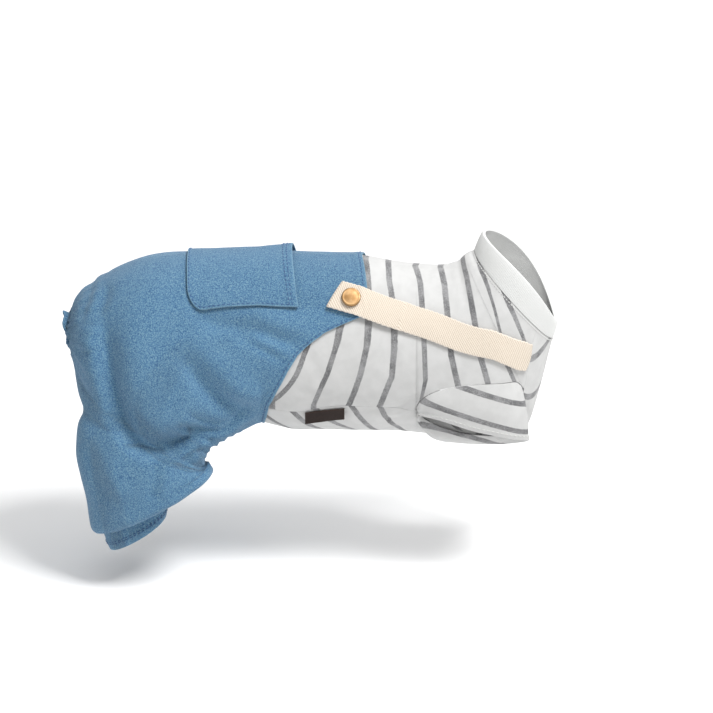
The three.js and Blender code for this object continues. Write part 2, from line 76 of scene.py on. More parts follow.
# %% Rows of the body and of one trouser leg
BODY_ROWS = np.array([
    # back_x, back_z, belly_x, belly_z, half_width, side_forward
    [0.535, 0.197, 1.015, -0.309, 0.71, 0.145],
    [0.482, 0.089, 0.995, -0.412, 0.75, 0.03],
    [0.441, 0.068, 0.918, -0.72, 0.865, 0.06],
    [0.405, 0.044, 0.836, -0.96, 0.96, 0.045],
    [0.364, 0.019, 0.691, -1.072, 1.0, 0.02],
    [0.3, -0.005, 0.473, -1.064, 1.01, 0],
    [0.196, -0.008, 0.218, -1.008, 1.0, 0],
    [0, 0.0104, 0, -0.982, 0.98, 0],
    [-0.117, 0.048, -0.117, -0.982, 0.98, 0],
    [-0.248, 0.054, -0.248, -0.975, 0.962, 0],
    [-0.335, 0.059, -0.335, -0.975, 0.962, 0],
    [-0.435, 0.058, -0.435, -0.924, 0.971, 0],
])
LEG_ROWS = np.array([
    # back_x, back_z, front_x, front_z, y_back, y_front, y_out, y_start, y_end, start, end
    [-0.435, 0.058, -0.435, -0.924, 0, 0, 0.971, 0, 0.5, 0, 150],
    [-0.561, 0.058, -0.555, -0.965, 0, 0.5, 1.02, 0, 0.55, 0, 178],
    [-0.665, 0.054, -0.61, -1.06, 0, 0.62, 1.08, 0, 0.6, 0, 182],
    [-0.77, 0.036, -0.616, -1.15, 0, 0.68, 1.12, 0, 0.5, 0, 200],
    [-0.866, -0.026, -0.618, -1.17, 0, 0.7, 1.15, 0, 0.35, 0, 220],
    [-0.952, -0.114, -0.617, -1.18, 0, 0.7, 1.16, 0, 0.22, 0, 235],
    [-1.006, -0.228, -0.616, -1.185, 0, 0.7, 1.17, 0, 0.14, 0, 248],
    [-1.02, -0.384, -0.614, -1.19, 0, 0.7, 1.17, 0, 0.08, 0, 257],
    [-1.01, -0.544, -0.614, -1.192, 0, 0.7, 1.18, 0, 0.04, 0, 262],
    [-1.004, -0.624, -0.614, -1.194, 0.15, 0.7, 1.18, 0, 0.03, -20, 265],
    [-0.993, -0.7, -0.614, -1.196, 0.36, 0.7, 1.18, 0, 0.02, -44, 267],
    [-0.978, -0.756, -0.614, -1.198, 0.56, 0.7, 1.18, 0, 0.01, -68, 269],
    [-0.978, -0.8, -0.614, -1.2, 0.67, 0.7, 1.18, 0.003, 0.003, -90, 270],
    [-0.992, -0.87, -0.614, -1.202, 0.71, 0.71, 1.19, 0.1, 0.1, -90, 270],
    [-1.001, -1.06, -0.612, -1.205, 0.72, 0.72, 1.22, 0.16, 0.16, -90, 270],
    [-0.977, -1.42, -0.608, -1.21, 0.72, 0.72, 1.24, 0.18, 0.18, -90, 270],
    [-0.953, -1.74, -0.604, -1.215, 0.71, 0.71, 1.21, 0.2, 0.2, -90, 270],
    [-0.938, -1.745, -0.715, -1.41, 0.7, 0.7, 1.1, 0.29, 0.29, -90, 270],
    [-0.903, -1.95, -0.742, -1.645, 0.7, 0.7, 1.06, 0.32, 0.32, -90, 270],
])
THIGH_ROW = len(BODY_ROWS) - 1
TAIL_ROW = THIGH_ROW + 7
CROTCH_ROW = THIGH_ROW + 12
HEM_ROW = THIGH_ROW + len(LEG_ROWS) - 1
print("thigh row", THIGH_ROW, "crotch row", CROTCH_ROW, "hem row", HEM_ROW)

# %% The skin


def along(share):
    return share * np.where(share < 0, REAR_REACH, FRONT_REACH)


def down(share):
    """Height of a share of the trunk's depth. Below -1 the shares are of the leg's drop instead."""
    below = share + 1
    blend = np.clip(below + LEG_BLEND, 0, 2 * LEG_BLEND) ** 2 / (4 * LEG_BLEND)
    blend = blend + np.maximum(0, below - LEG_BLEND)
    return below * LEG_DROP + (TRUNK_DEPTH - LEG_DROP) * blend - TRUNK_DEPTH


def curve_at(table, column, row):
    """A smooth curve through one column of a table, at row numbers that need not be whole."""
    last = len(table) - 1
    first = np.clip(np.floor(row), 0, last - 1).astype(int)
    f = row - first
    p0, p1, p2, p3 = (table[np.clip(first + k, 0, last), column] for k in (-1, 0, 1, 2))
    bend = (2 * p0 - 5 * p1 + 4 * p2 - p3) * f**2 + (3 * p1 - p0 - 3 * p2 + p3) * f**3
    return 0.5 * (2 * p1 + (p2 - p0) * f + bend)


def oval(table, row, angle):
    """Centre and half reach of a row's oval, turned to an angle, in the side view."""
    back_x, front_x = (along(curve_at(table, c, row)) for c in (0, 2))
    back_z, front_z = (down(curve_at(table, c, row)) for c in (1, 3))
    half_x, half_z = (back_x - front_x) / 2, (back_z - front_z) / 2
    cos = np.cos(np.radians(angle))
    return front_x + half_x * (1 + cos), front_z + half_z * (1 + cos), half_x, half_z


def body_point(row, angle):
    x, z, half_x, half_z = oval(BODY_ROWS, row, angle)
    sin = np.sin(np.radians(angle))
    forward = curve_at(BODY_ROWS, 5, row) * HALF_WIDTH * sin**2 / np.hypot(half_x, half_z)
    y = -curve_at(BODY_ROWS, 4, row) * HALF_WIDTH * sin
    return np.stack([x + half_z * forward, y, z - half_x * forward], -1)


def leg_point(row, angle):
    place = row - THIGH_ROW
    x, z, _, _ = oval(LEG_ROWS, place, angle)
    y_back, y_front, y_out, y_start, y_end = (
        curve_at(LEG_ROWS, c, place) * HALF_WIDTH for c in (4, 5, 6, 7, 8)
    )
    start = np.radians(np.minimum(curve_at(LEG_ROWS, 9, place), -1))
    end = np.radians(np.maximum(curve_at(LEG_ROWS, 10, place), 181))
    sin = np.sin(np.radians(angle))
    y = np.select(
        [angle < 0, angle <= 90, angle <= 180],
        [
            y_back - (y_back - y_start) * sin / np.sin(start),
            y_back + (y_out - y_back) * sin,
            y_front + (y_out - y_front) * sin,
        ],
        y_front - (y_front - y_end) * sin / np.sin(end),
    )
    return np.stack([x, -y, z], -1)


def skin(row, angle):
    """Points of the shirt's outer face. A negative angle on the trunk is on the wearer's left."""
    row, angle = np.broadcast_arrays(np.asarray(row, float), np.asarray(angle, float))
    turned = np.where(row > THIGH_ROW, angle, np.abs((angle + 180) % 360 - 180))
    points = np.where((row > THIGH_ROW)[..., None], leg_point(row, turned), body_point(row, turned))
    far = (row <= THIGH_ROW) & ((angle + 180) % 360 - 180 < 0)
    points[..., 1] = np.where(far, -points[..., 1], points[..., 1])
    return points


def normals_of(points, closed=False):
    """Unit normals of a grid of points, turned away from the middle of the trunk."""
    grid = points
    if closed:
        grid = np.concatenate([points[:, -2:-1], points, points[:, 1:2]], 1)
    down_rows = np.gradient(grid, axis=0)
    across = np.gradient(grid, axis=1)
    normal = np.cross(down_rows, across)
    if closed:
        normal = normal[:, 1:-1]
    normal /= np.linalg.norm(normal, axis=-1, keepdims=True) + 1e-12
    middle = points * [1, 0, 0] + [0, 0, -0.48 * TRUNK_DEPTH]
    return normal * np.sign(((points - middle) * normal).sum())


print("the collar's edge on the back, in mm:", (skin(0, 0) / MM).round(1))

# %% [markdown]
# Cloth is never smooth. A few long waves in random directions, added up, give the slow unevenness of
# fabric that lies on a body. They are worked out from a point's place in space, so a pocket rises and
# falls with the cloth below it. A Displace modifier could do this too, but each piece would need its own.
# The seed keeps the waves the same in every run.

# %% Uneven cloth


def wobble(points, size, seed, waves=14):
    rng = np.random.default_rng(seed)
    heading = rng.normal(size=(waves, 3))
    heading /= np.linalg.norm(heading, axis=1, keepdims=True)
    length = size * rng.uniform(0.7, 1.5, waves)
    phase = rng.uniform(0, 2 * np.pi, waves)
    return np.sin(points @ (heading * (2 * np.pi / length)[:, None]).T + phase).mean(-1)


def smooth(value, low, high):
    share = np.clip((value - low) / (high - low), 0, 1)
    return share * share * (3 - 2 * share)


print("unevenness at the withers, from -1 to 1:", round(float(wobble(np.zeros(3), 60 * MM, 3)), 2))

# %% [markdown]
# The large folds are drawn as valleys in the side view: a line of points, a depth and a width in mm
# on either side. Going along the line, the cloth that hangs over the fold is on the left, and it swells
# before it sinks. On the right the cloth rises again more steeply. The lines fade out at their ends.
# Folds could also come from a cloth simulation, but a drawn line can be put exactly in place.

# %% Folds of the cloth
DENIM_FOLDS = [
    # depth, left width, right width, swell, line of x and z as shares of the rear reach and the depth
    (10, 13, 5, 2.4, [(-0.904, -0.02), (-0.912, -0.22), (-0.908, -0.42), (-0.892, -0.6), (-0.864, -0.77),
                       (-0.822, -0.89), (-0.767, -0.95), (-0.687, -0.93), (-0.61, -0.86), (-0.54, -0.8)]),
    (5.2, 9, 6, 2.5, [(-0.7, -0.32), (-0.615, -0.53), (-0.549, -0.68), (-0.49, -0.75), (-0.45, -0.79)]),
    (3.6, 7, 5, 0.8, [(-0.66, -0.13), (-0.567, -0.215), (-0.46, -0.258), (-0.339, -0.335), (-0.26, -0.37)]),
    (1.8, 4, 3, 0.8, [(-0.52, -0.26), (-0.46, -0.33), (-0.4, -0.39), (-0.34, -0.45)]),
    (2.0, 3.2, 2.4, 1.2, [(-0.48, -0.77), (-0.53, -0.81), (-0.59, -0.8), (-0.67, -0.7)]),
    (3.0, 2.8, 2.2, 1.6, [(-0.5, -0.82), (-0.56, -0.865), (-0.62, -0.85), (-0.7, -0.8)]),
    (2.6, 3, 2.4, 1.4, [(-0.56, -0.96), (-0.6, -0.91), (-0.65, -0.91), (-0.71, -0.97)]),
    (1.8, 3.4, 2.6, 1.2, [(-0.57, -1.05), (-0.61, -0.98), (-0.65, -0.99), (-0.69, -1.12)]),
    (2.0, 5, 4, 1.2, [(-0.75, -1.0), (-0.76, -1.2), (-0.77, -1.36)]),
    (1.8, 7, 5, 1.2, [(-0.964, -0.9), (-0.943, -1.14), (-0.9, -1.45)]),
    (1.6, 3, 2.4, 0.5, [(-0.945, -0.08), (-0.965, -0.18), (-0.985, -0.28)]),
    (1.8, 3.6, 3, 0.6, [(-0.885, -0.07), (-0.93, -0.17), (-0.965, -0.29)]),
    (1.8, 3, 2.4, 1.2, [(-1.0, -0.4), (-0.957, -0.4), (-0.92, -0.36)]),
]


JERSEY_FOLDS = [
    # depth, left width, right width, swell, line of x and z as shares of the reaches and the depth
    (0.9, 3.5, 2.5, 0.5, [(0.19, -0.62), (0.01, -0.714), (-0.064, -0.744), (-0.15, -0.732)]),
    (0.8, 3, 2, 0.4, [(0.2, -0.71), (0.03, -0.79), (-0.06, -0.82)]),
    (0.8, 4, 3, 0.4, [(0.32, 0.12), (0.39, -0.03), (0.41, -0.16)]),
    (0.6, 5, 3, 0.4, [(-0.34, -0.6), (-0.217, -0.684), (-0.11, -0.666)]),
    (0.6, 4, 3, 0.3, [(-0.05, -0.24), (-0.027, -0.42), (-0.04, -0.6)]),
    (0.5, 5, 3, 0.3, [(-0.31, -0.33), (-0.254, -0.51), (-0.24, -0.66)]),
]
DENIM_WAVES = [
    # height, length, seed
    (0.9 * MM, 60 * MM, 3),
    (0.5 * MM, 21 * MM, 4),
]
JERSEY_WAVES = [
    # height, length, seed
    (0.45 * MM, 42 * MM, 5),
    (0.25 * MM, 16 * MM, 6),
]
LINE_POINTS = 5  # points of a smooth line for each point of the table
FOLD_FADE = 0.25  # share of the line over which a fold fades out at each end
SWELL_PLACE = 1.7  # where the swell is highest, as a share of the left width


def valley(points, depth, left, right, swell, line):
    """How far the cloth sinks at each point because of one fold."""
    line = np.array(line)
    fine = np.linspace(0, len(line) - 1, LINE_POINTS * len(line))
    ends = np.stack([along(curve_at(line, 0, fine)), down(curve_at(line, 1, fine))], -1)
    place = points[..., [0, 2]]
    best = np.full(place.shape[:-1], np.inf)
    side = np.zeros_like(best)
    run = np.zeros_like(best)
    for k in range(len(ends) - 1):
        step = ends[k + 1] - ends[k]
        share = np.clip(((place - ends[k]) @ step) / (step @ step), 0, 1)
        away = place - ends[k] - share[..., None] * step
        distance = np.hypot(away[..., 0], away[..., 1])
        nearer = distance < best
        best = np.where(nearer, distance, best)
        side = np.where(nearer, distance * np.sign(away @ np.array([-step[1], step[0]])), side)
        run = np.where(nearer, (k + share) / (len(ends) - 1), run)
    fade = smooth(run, 0, FOLD_FADE) * smooth(1 - run, 0, FOLD_FADE)
    side = side / MM
    sink = depth * np.exp(-((side / np.where(side > 0, left, right)) ** 2))
    rise = swell * np.exp(-(((side - SWELL_PLACE * left) / left) ** 2))
    return fade * (rise - sink) * MM


def rise_of(points, waves, folds):
    rise = sum(height * wobble(points, length, seed) for height, length, seed in waves)
    for fold in folds:
        rise = rise + valley(points, *fold)
    return rise


def denim_relief(points):
    return rise_of(points, DENIM_WAVES, DENIM_FOLDS)


def jersey_relief(points):
    return rise_of(points, JERSEY_WAVES, JERSEY_FOLDS)


print("folds in denim and in jersey:", len(DENIM_FOLDS), len(JERSEY_FOLDS))

# %% [markdown]
# A cloth piece is a sheet with two faces. It is made from a grid of points: the outer face is lifted off
# the grid, the inner face is set below it, and the free edges are closed. Close to an edge both faces
# bend towards each other, so a hem is round and a seam between two pieces is a soft groove. A Solidify
# modifier would make the wall too, but with the same thickness up to its edges.

# %% Grid steps that are closer at the edges


def steps(count, length, wall, least=0.2):
    """Positions from 0 to 1 with extra ones at both ends, and how full the wall is at each.

    Least is the share of the wall that is left at the very edge.
    """
    radius = wall / 2 / length
    close = np.array([0, 0.12, 0.4, 0.8]) * radius
    places = np.concatenate([close, np.linspace(radius, 1 - radius, count), 1 - close[::-1]])
    depth = np.clip(np.minimum(places, 1 - places) / radius, 0, 1)
    return places, least + (1 - least) * np.sqrt(1 - (1 - depth) ** 2)


def measured(points, axis):
    """Length along the cloth from the first row or column, for each point of a grid."""
    step = np.linalg.norm(np.diff(points, axis=axis), axis=-1)
    start = np.zeros_like(np.take(step, [0], axis))
    return np.concatenate([start, np.cumsum(step, axis)], axis)


print("steps across a 20 mm strip:", steps(3, 20 * MM, JERSEY)[0].round(3))

# %% The mesh of one sheet


def sheet_faces(rows, columns, keep, closed_from):
    """Corner numbers of a sheet's faces, and the place in the grid of every corner.

    The outer face's points are counted first. From the row closed_from on, the last column is the first.
    """
    plain = np.arange(rows * columns).reshape(rows, columns)
    joined = plain.copy()
    ring = np.pad(keep, 1)
    if closed_from is not None:
        joined[closed_from:, -1] = joined[closed_from:, 0]
        ring[1 + closed_from : rows, 0] = keep[closed_from:, -1]
        ring[1 + closed_from : rows, -1] = keep[closed_from:, 0]
    under = joined + rows * columns
    corners = [(slice(0, -1), slice(0, -1)), (slice(1, None), slice(0, -1))]
    corners += [(slice(1, None), slice(1, None)), (slice(0, -1), slice(1, None))]
    faces = [np.stack([joined[c][keep] for c in corners], -1)]
    places = [np.stack([plain[c][keep] for c in corners], -1)]
    faces.append(np.stack([under[c][keep] for c in corners[::-1]], -1))
    places.append(np.stack([plain[c][keep] for c in corners[::-1]], -1))
    beside = [ring[1:-1, :-2], ring[2:, 1:-1], ring[1:-1, 2:], ring[:-2, 1:-1]]
    for k in range(4):
        p, q = corners[k], corners[(k + 1) % 4]
        edge = keep & ~beside[k]
        faces.append(np.stack([joined[q][edge], joined[p][edge], under[p][edge], under[q][edge]], -1))
        places.append(np.stack([plain[q][edge], plain[p][edge], plain[p][edge], plain[q][edge]], -1))
    return np.concatenate(faces), np.concatenate(places)


def sheet_mesh(name, outer, inner, keep=None, closed_from=None, marks=None, run=None):
    """A closed mesh from two grids.

    The run is how far along the cloth each point lies. It is measured where it isn't given.
    """
    run = measured(outer, 0) if run is None else run
    rows, columns = outer.shape[:2]
    keep = np.ones((rows - 1, columns - 1), bool) if keep is None else keep
    faces, places = sheet_faces(rows, columns, keep, closed_from)
    points = np.concatenate([outer.reshape(-1, 3), inner.reshape(-1, 3)])
    a, b, c, d = (points[faces[:, k]] for k in range(4))
    if (np.cross(c - a, d - b) * (a + b + c + d)).sum() < 0:
        faces, places = faces[:, ::-1], places[:, ::-1]
    used, faces = np.unique(faces, return_inverse=True)
    faces = faces.reshape(-1, 4)
    mesh = bpy.data.meshes.new(name)
    mesh.vertices.add(len(used))
    mesh.vertices.foreach_set("co", points[used].ravel())
    mesh.loops.add(faces.size)
    mesh.loops.foreach_set("vertex_index", faces.ravel())
    mesh.polygons.add(len(faces))
    mesh.polygons.foreach_set("loop_start", np.arange(0, faces.size, 4))
    mesh.update(calc_edges=True)
    weave = mesh.uv_layers.new(name="weave")
    thread = np.stack([measured(outer, 1).mean(0)[None, :] + 0 * run, run], -1)
    weave.uv.foreach_set("vector", thread.reshape(-1, 2)[places.ravel()].ravel())
    for mark, value in (marks or {}).items():
        both = np.concatenate([np.broadcast_to(value, (rows, columns)).ravel()] * 2)
        layer = mesh.attributes.new(mark, "FLOAT", "POINT")
        layer.data.foreach_set("value", both[used])
    mesh.validate()
    mesh.shade_smooth()
    return mesh


def finish_piece(name, mesh, material, node=None):
    """The piece's object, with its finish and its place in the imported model."""
    piece = bpy.data.objects.new(name, mesh)
    bpy.context.scene.collection.objects.link(piece)
    mesh.materials.append(material)
    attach(piece, "root")
    if node:
        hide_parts(node)
    print(name, len(mesh.polygons) * 2, "triangles")
    return piece


def cloth(name, base, wall, material, slot, node, held, **shape):
    """One sheet of cloth on a grid of points, and the grid of its outer face with its normals.

    Low is the inner face's height over the grid. Relief is added to both faces. Fall is the share of the
    wall that is left at each point.
    """
    low, relief, fall = shape.get("low", 0), shape.get("relief", 0), shape.get("fall", 1)
    closed_from = shape.get("closed_from")
    normal = shape.get("normal")
    if normal is None:
        normal = normals_of(base, closed_from == 0)
    middle = (low + wall / 2 + relief) * np.ones(base.shape[:2])
    half = (wall / 2 * fall) * np.ones(base.shape[:2])
    outer = base + normal * (middle + half)[..., None]
    inner = base + normal * (middle - half)[..., None]
    mesh = sheet_mesh(name, outer, inner, shape.get("keep"), closed_from, shape.get("marks"))
    piece = finish_piece(name, mesh, material, node)
    if held is not None:
        width, length = measured(base, 1)[:, -1].max(), measured(base, 0)[-1].max()
    return outer, normal


# %% [markdown]
# Shader maths reads best as plain formulas. The small class below wraps a node's output, so that adding
# or multiplying two wrapped values adds the Math node that does it. Everything else goes through one
# method that makes a node from its type, its settings and its inputs.

# %% Shader values as formulas


class Value:
    def __init__(self, maker, socket):
        self.maker = maker
        self.socket = socket

    def math(self, operation, *others):
        return self.maker.node("ShaderNodeMath", {"operation": operation}, [self, *others])[0]

    def __add__(self, other):
        return self.math("ADD", other)

    def __radd__(self, other):
        return self.math("ADD", other)

    def __sub__(self, other):
        return self.math("SUBTRACT", other)

    def __rsub__(self, other):
        return self.maker.node("ShaderNodeMath", {"operation": "SUBTRACT"}, [other, self])[0]

    def __mul__(self, other):
        return self.math("MULTIPLY", other)

    def __rmul__(self, other):
        return self.math("MULTIPLY", other)


class Finish:
    """One procedural material and the nodes in it."""

    def __init__(self, name, roughness, metallic=0.0, sheen=0.0):
        self.material = bpy.data.materials.new(name)
        self.material.use_nodes = True
        self.tree = self.material.node_tree
        self.shader = self.tree.nodes["Principled BSDF"]
        self.shader.inputs["Roughness"].default_value = roughness
        self.shader.inputs["Metallic"].default_value = metallic
        self.shader.inputs["Sheen Weight"].default_value = sheen

    def node(self, kind, settings=None, inputs=()):
        made = self.tree.nodes.new(kind)
        for key, value in (settings or {}).items():
            setattr(made, key, value)
        pairs = inputs.items() if isinstance(inputs, dict) else enumerate(inputs)
        for key, value in pairs:
            self.put(made.inputs[key], value)
        return [Value(self, out) for out in made.outputs]

    def put(self, socket, value):
        if isinstance(value, Value):
            self.tree.links.new(value.socket, socket)
        else:
            socket.default_value = value

    def out(self, socket, value):
        self.put(self.shader.inputs[socket], value)

    def thread_place(self, across, lengthwise):
        """Place on the cloth, counted in threads or marks of the given sizes."""
        uv = self.node("ShaderNodeUVMap", {"uv_map": "weave"})[0]
        scale = (1 / across, 1 / lengthwise, 1)
        mapped = self.node("ShaderNodeVectorMath", {"operation": "MULTIPLY"}, [uv, scale])[0]
        parts = self.node("ShaderNodeSeparateXYZ", inputs=[mapped])
        return mapped, parts[0], parts[1]

    def mark(self, name):
        return self.node("ShaderNodeAttribute", {"attribute_name": name})[2]

    def wave(self, count):
        """A sine that runs through one wave for each whole count."""
        return self.node("ShaderNodeMath", {"operation": "SINE"}, [count * (2 * math.pi)])[0]

    def space_noise(self, size, detail=2.0):
        place = self.node("ShaderNodeTexCoord")[3]
        settings = {"Vector": place, "Scale": 1 / size, "Detail": detail}
        return self.node("ShaderNodeTexNoise", inputs=settings)[0]

    def cloth_noise(self, across, lengthwise, detail=2.0):
        place, _, _ = self.thread_place(across, lengthwise)
        return self.node("ShaderNodeTexNoise", inputs={"Vector": place, "Scale": 1.0, "Detail": detail})[0]

    def between(self, value, low, high):
        made = {"Value": value, "From Min": low, "From Max": high}
        return self.node("ShaderNodeMapRange", {"interpolation_type": "SMOOTHSTEP"}, made)[0]

    def mix(self, share, first, second):
        made = self.tree.nodes.new("ShaderNodeMix")
        made.data_type = "RGBA"
        for key, value in (("Factor_Float", share), ("A_Color", first), ("B_Color", second)):
            self.put(next(s for s in made.inputs if s.identifier == key), value)
        return Value(self, next(s for s in made.outputs if s.identifier == "Result_Color"))

    def bump(self, height, distance):
        inputs = {"Height": height, "Distance": distance, "Strength": 1.0}
        return self.node("ShaderNodeBump", inputs=inputs)[0]


LIT = 1.3  # how much light falls on the cloth, where 1 would show its colour as it is


def seen(red, green, blue):
    """A colour as it is seen on a screen in this light, as the linear numbers that a shader uses."""
    share = [c / 255 for c in (red, green, blue)]
    linear = [c / 12.92 if c < 0.04045 else ((c + 0.055) / 1.055) ** 2.4 for c in share]
    return (*(c / LIT for c in linear), 1)


print("a middle grey for the shader:", round(seen(128, 128, 128)[0], 3))

# %% [markdown]
# The denim is a light chambray: pale and dark blue threads cross, so close up it is a fine speckle, with
# some thicker threads that show as short pale dashes. The weave's twill is a diagonal relief. Along
# turned edges the blue is rubbed paler. A picture of cloth would repeat itself, so noise draws all this.

# %% Denim


def denim_finish():
    denim = Finish("denim", 0.9, sheen=0.12)
    _, across, lengthwise = denim.thread_place(0.7 * MM, 0.7 * MM)
    twill = denim.wave(across + lengthwise)
    speckle = denim.space_noise(0.8 * MM, 2.0)
    blotch = denim.space_noise(18 * MM, 3.0)
    dash = denim.cloth_noise(0.6 * MM, 7 * MM, 2.0)
    cross_dash = denim.cloth_noise(8 * MM, 0.6 * MM, 2.0)
    pale, middle, dark = seen(132, 172, 192), seen(86, 134, 170), seen(54, 98, 143)
    colour = denim.mix(denim.between(speckle, 0.32, 0.52), dark, middle)
    colour = denim.mix(denim.between(speckle, 0.48, 0.68) * 0.8, colour, pale)
    colour = denim.mix(denim.between(dash, 0.55, 0.72) * 0.3, colour, pale)
    colour = denim.mix(denim.between(cross_dash, 0.55, 0.72) * 0.3, colour, dark)
    colour = denim.mix(denim.between(blotch, 0.35, 0.7) * 0.12, colour, seen(110, 155, 186))
    rubbed = 1 - denim.between(denim.mark("rim"), 0.0, 1.4 * MM)
    colour = denim.mix(rubbed * 0.45, colour, seen(140, 182, 202))
    denim.out("Base Color", colour)
    denim.out("Normal", denim.bump(twill * 0.35 + speckle * 1.0 + dash * 0.4, 0.2 * MM))
    return denim.material


DENIM_CLOTH = denim_finish()
print("nodes of the denim:", len(DENIM_CLOTH.node_tree.nodes))

# %% [markdown]
# The jersey is a plain knit in off-white with heather grey stripes. Its stitches stand in fine upright
# columns. The stripes could be laid on as a flat pattern, but they bend on every panel. So each point of
# the shirt carries its distance from the middle of the nearest stripe. A stripe then keeps its width
# wherever it bends, and its edge is a little uneven.

# %% Jersey
STRIPE_HALF = 2.1 * MM


def jersey_finish():
    jersey = Finish("striped_jersey", 0.92, sheen=0.12)
    _, across, lengthwise = jersey.thread_place(0.75 * MM, 0.6 * MM)
    column = jersey.wave(across)
    loop = jersey.wave(lengthwise)
    fuzz = jersey.space_noise(0.8 * MM, 3.0)
    grain = jersey.cloth_noise(1.0 * MM, 0.8 * MM, 3.0)
    patch = jersey.space_noise(9 * MM, 2.0)
    away = jersey.mark("stripe") + (fuzz - 0.5) * (1.1 * MM)
    stripe = 1 - jersey.between(away, STRIPE_HALF - 0.2 * MM, STRIPE_HALF + 0.2 * MM)
    white = jersey.mix(jersey.between(patch, 0.3, 0.7), seen(218, 218, 217), seen(211, 211, 210))
    heather = grain * 0.65 + patch * 0.35
    grey = jersey.mix(jersey.between(heather, 0.38, 0.6), seen(92, 92, 94), seen(164, 164, 165))
    jersey.out("Base Color", jersey.mix(stripe * jersey.between(grain, 0.15, 0.45), white, grey))
    jersey.out("Normal", jersey.bump(column * 0.5 + loop * 0.25 + fuzz * 0.8, 0.1 * MM))
    return jersey.material


JERSEY_CLOTH = jersey_finish()
print("nodes of the jersey:", len(JERSEY_CLOTH.node_tree.nodes))

# %% [markdown]
# The small materials follow. The collar's rib has painted shade: it is coloured darker in its grooves. The
# webbing is a twill that shows as fine slanting lines of dots, paler at its selvedges. Thread is plied, the
# tag is a plain dark weave, and the snaps are brushed brass with a little tarnish. Waves along the threads
# and a little noise are enough for each of them.

# %% Rib knit and webbing


def rib_finish():
    rib = Finish("rib_knit", 0.92, sheen=0.2)
    fuzz = rib.space_noise(0.7 * MM, 3.0)
    _, _, lengthwise = rib.thread_place(1 * MM, 0.8 * MM)
    loop = rib.wave(lengthwise)
    # painted shade: the rib's grooves, the low places of its relief, are coloured darker
    painted_groove_shade = rib.between(rib.mark("rib"), -0.9, -0.2)
    rib.out("Base Color", rib.mix(painted_groove_shade, seen(214, 215, 214), seen(233, 234, 232)))
    rib.out("Normal", rib.bump(fuzz + loop * 0.3, 0.1 * MM))
    return rib.material


def webbing_finish():
    webbing = Finish("webbing", 0.88, sheen=0.15)
    _, across, lengthwise = webbing.thread_place(1.9 * MM, 1.9 * MM)
    rising = webbing.wave(across + lengthwise)
    falling = webbing.wave(across - lengthwise)
    twill = rising * 0.8 + rising * falling * 0.6
    fuzz = webbing.space_noise(0.5 * MM, 3.0)
    warp = webbing.cloth_noise(0.5 * MM, 4 * MM, 2.0)
    pale, warm = seen(238, 227, 212), seen(206, 189, 169)
    colour = webbing.mix(webbing.between(twill + (fuzz - 0.5) * 1.2, -0.9, 0.5), warm, pale)
    colour = webbing.mix(webbing.between(warp, 0.5, 0.75) * 0.25, colour, seen(238, 224, 206))
    edge = 1 - webbing.between(webbing.mark("rim"), 0.2 * MM, 1.0 * MM)
    webbing.out("Base Color", webbing.mix(edge * 0.5, colour, seen(250, 241, 230)))
    webbing.out("Normal", webbing.bump(twill * 0.6 + fuzz * 0.8, 0.16 * MM))
    return webbing.material


RIB_CLOTH = rib_finish()
WEBBING_CLOTH = webbing_finish()
print("nodes of the webbing:", len(WEBBING_CLOTH.node_tree.nodes))

# %% Threads, tag and metal


def thread_finish(name, colour, deep):
    thread = Finish(name, 0.75, sheen=0.2)
    ply = thread.space_noise(0.35 * MM, 2.0)
    thread.out("Base Color", thread.mix(thread.between(ply, 0.3, 0.7), deep, colour))
    thread.out("Normal", thread.bump(ply, 0.1 * MM))
    return thread.material


def tag_finish():
    tag = Finish("label_cloth", 0.85)
    _, across, lengthwise = tag.thread_place(0.45 * MM, 0.45 * MM)
    warp = tag.wave(across)
    weft = tag.wave(lengthwise)
    fuzz = tag.space_noise(0.6 * MM, 2.0)
    rim = 1 - tag.between(tag.mark("rim"), 0.2 * MM, 0.9 * MM)
    colour = tag.mix(tag.between(fuzz, 0.3, 0.7), seen(36, 22, 16), seen(50, 32, 25))
    tag.out("Base Color", tag.mix(rim * 0.5, colour, seen(70, 48, 38)))
    tag.out("Normal", tag.bump(warp * weft + fuzz, 0.12 * MM))
    return tag.material


def brass_finish():
    brass = Finish("snap_metal", 0.42, metallic=1.0)
    grain = brass.space_noise(0.4 * MM, 3.0)
    tarnish = brass.space_noise(5 * MM, 3.0)
    bright, dull = seen(196, 160, 116), seen(168, 130, 86)
    brass.out("Base Color", brass.mix(brass.between(tarnish, 0.35, 0.7), bright, dull))
    brass.out("Roughness", 0.36 + grain * 0.2)
    brass.out("Normal", brass.bump(grain, 0.02 * MM))
    return brass.material


BLUE_THREAD = thread_finish("blue_thread", seen(66, 110, 158), seen(40, 78, 126))
WHITE_THREAD = thread_finish("white_thread", seen(236, 236, 232), seen(205, 206, 204))
TAG_CLOTH = tag_finish()
BRASS = brass_finish()
print("finishes:", len(bpy.data.materials))

# %% [markdown]
# Seen from the side, the denim bib ends on a curve that drops from the back to the belly. The shirt runs
# on a little under it. The armhole is an oval gap between the shirt's two panels, and the side seam
# joins them before and behind it. These edges could be cut into finished cloth with booleans, but as
# rows and angles of the skin they give the pieces on both sides of them the same clean border.

# %% Edges of the panels
BIB_EDGE = np.array([
    # angle, x as a share of the rear reach
    [0, -0.119],
    [15, -0.113],
    [39, -0.103],
    [50, -0.09],
    [54, -0.089],
    [59, -0.138],
    [69, -0.235],
    [77, -0.283],
    [83, -0.316],
    [94, -0.347],
    [108, -0.374],
    [123, -0.398],
    [150, -0.415],
])
BIB_OVERLAP = 4.5 * MM
ARMHOLE_ROW, ARMHOLE_ROWS, ARMHOLE_ANGLE = 4.5, 2, 119
ARMHOLE_UP, ARMHOLE_DOWN = 24, 22
SIDE_SEAM = np.array([
    # row, angle
    [1, 121],
    [1.6, 117],
    [2.6, 124],
    [6.5, 121],
    [8.5, 120],
    [9.5, 126],
    [11.5, 130],
])


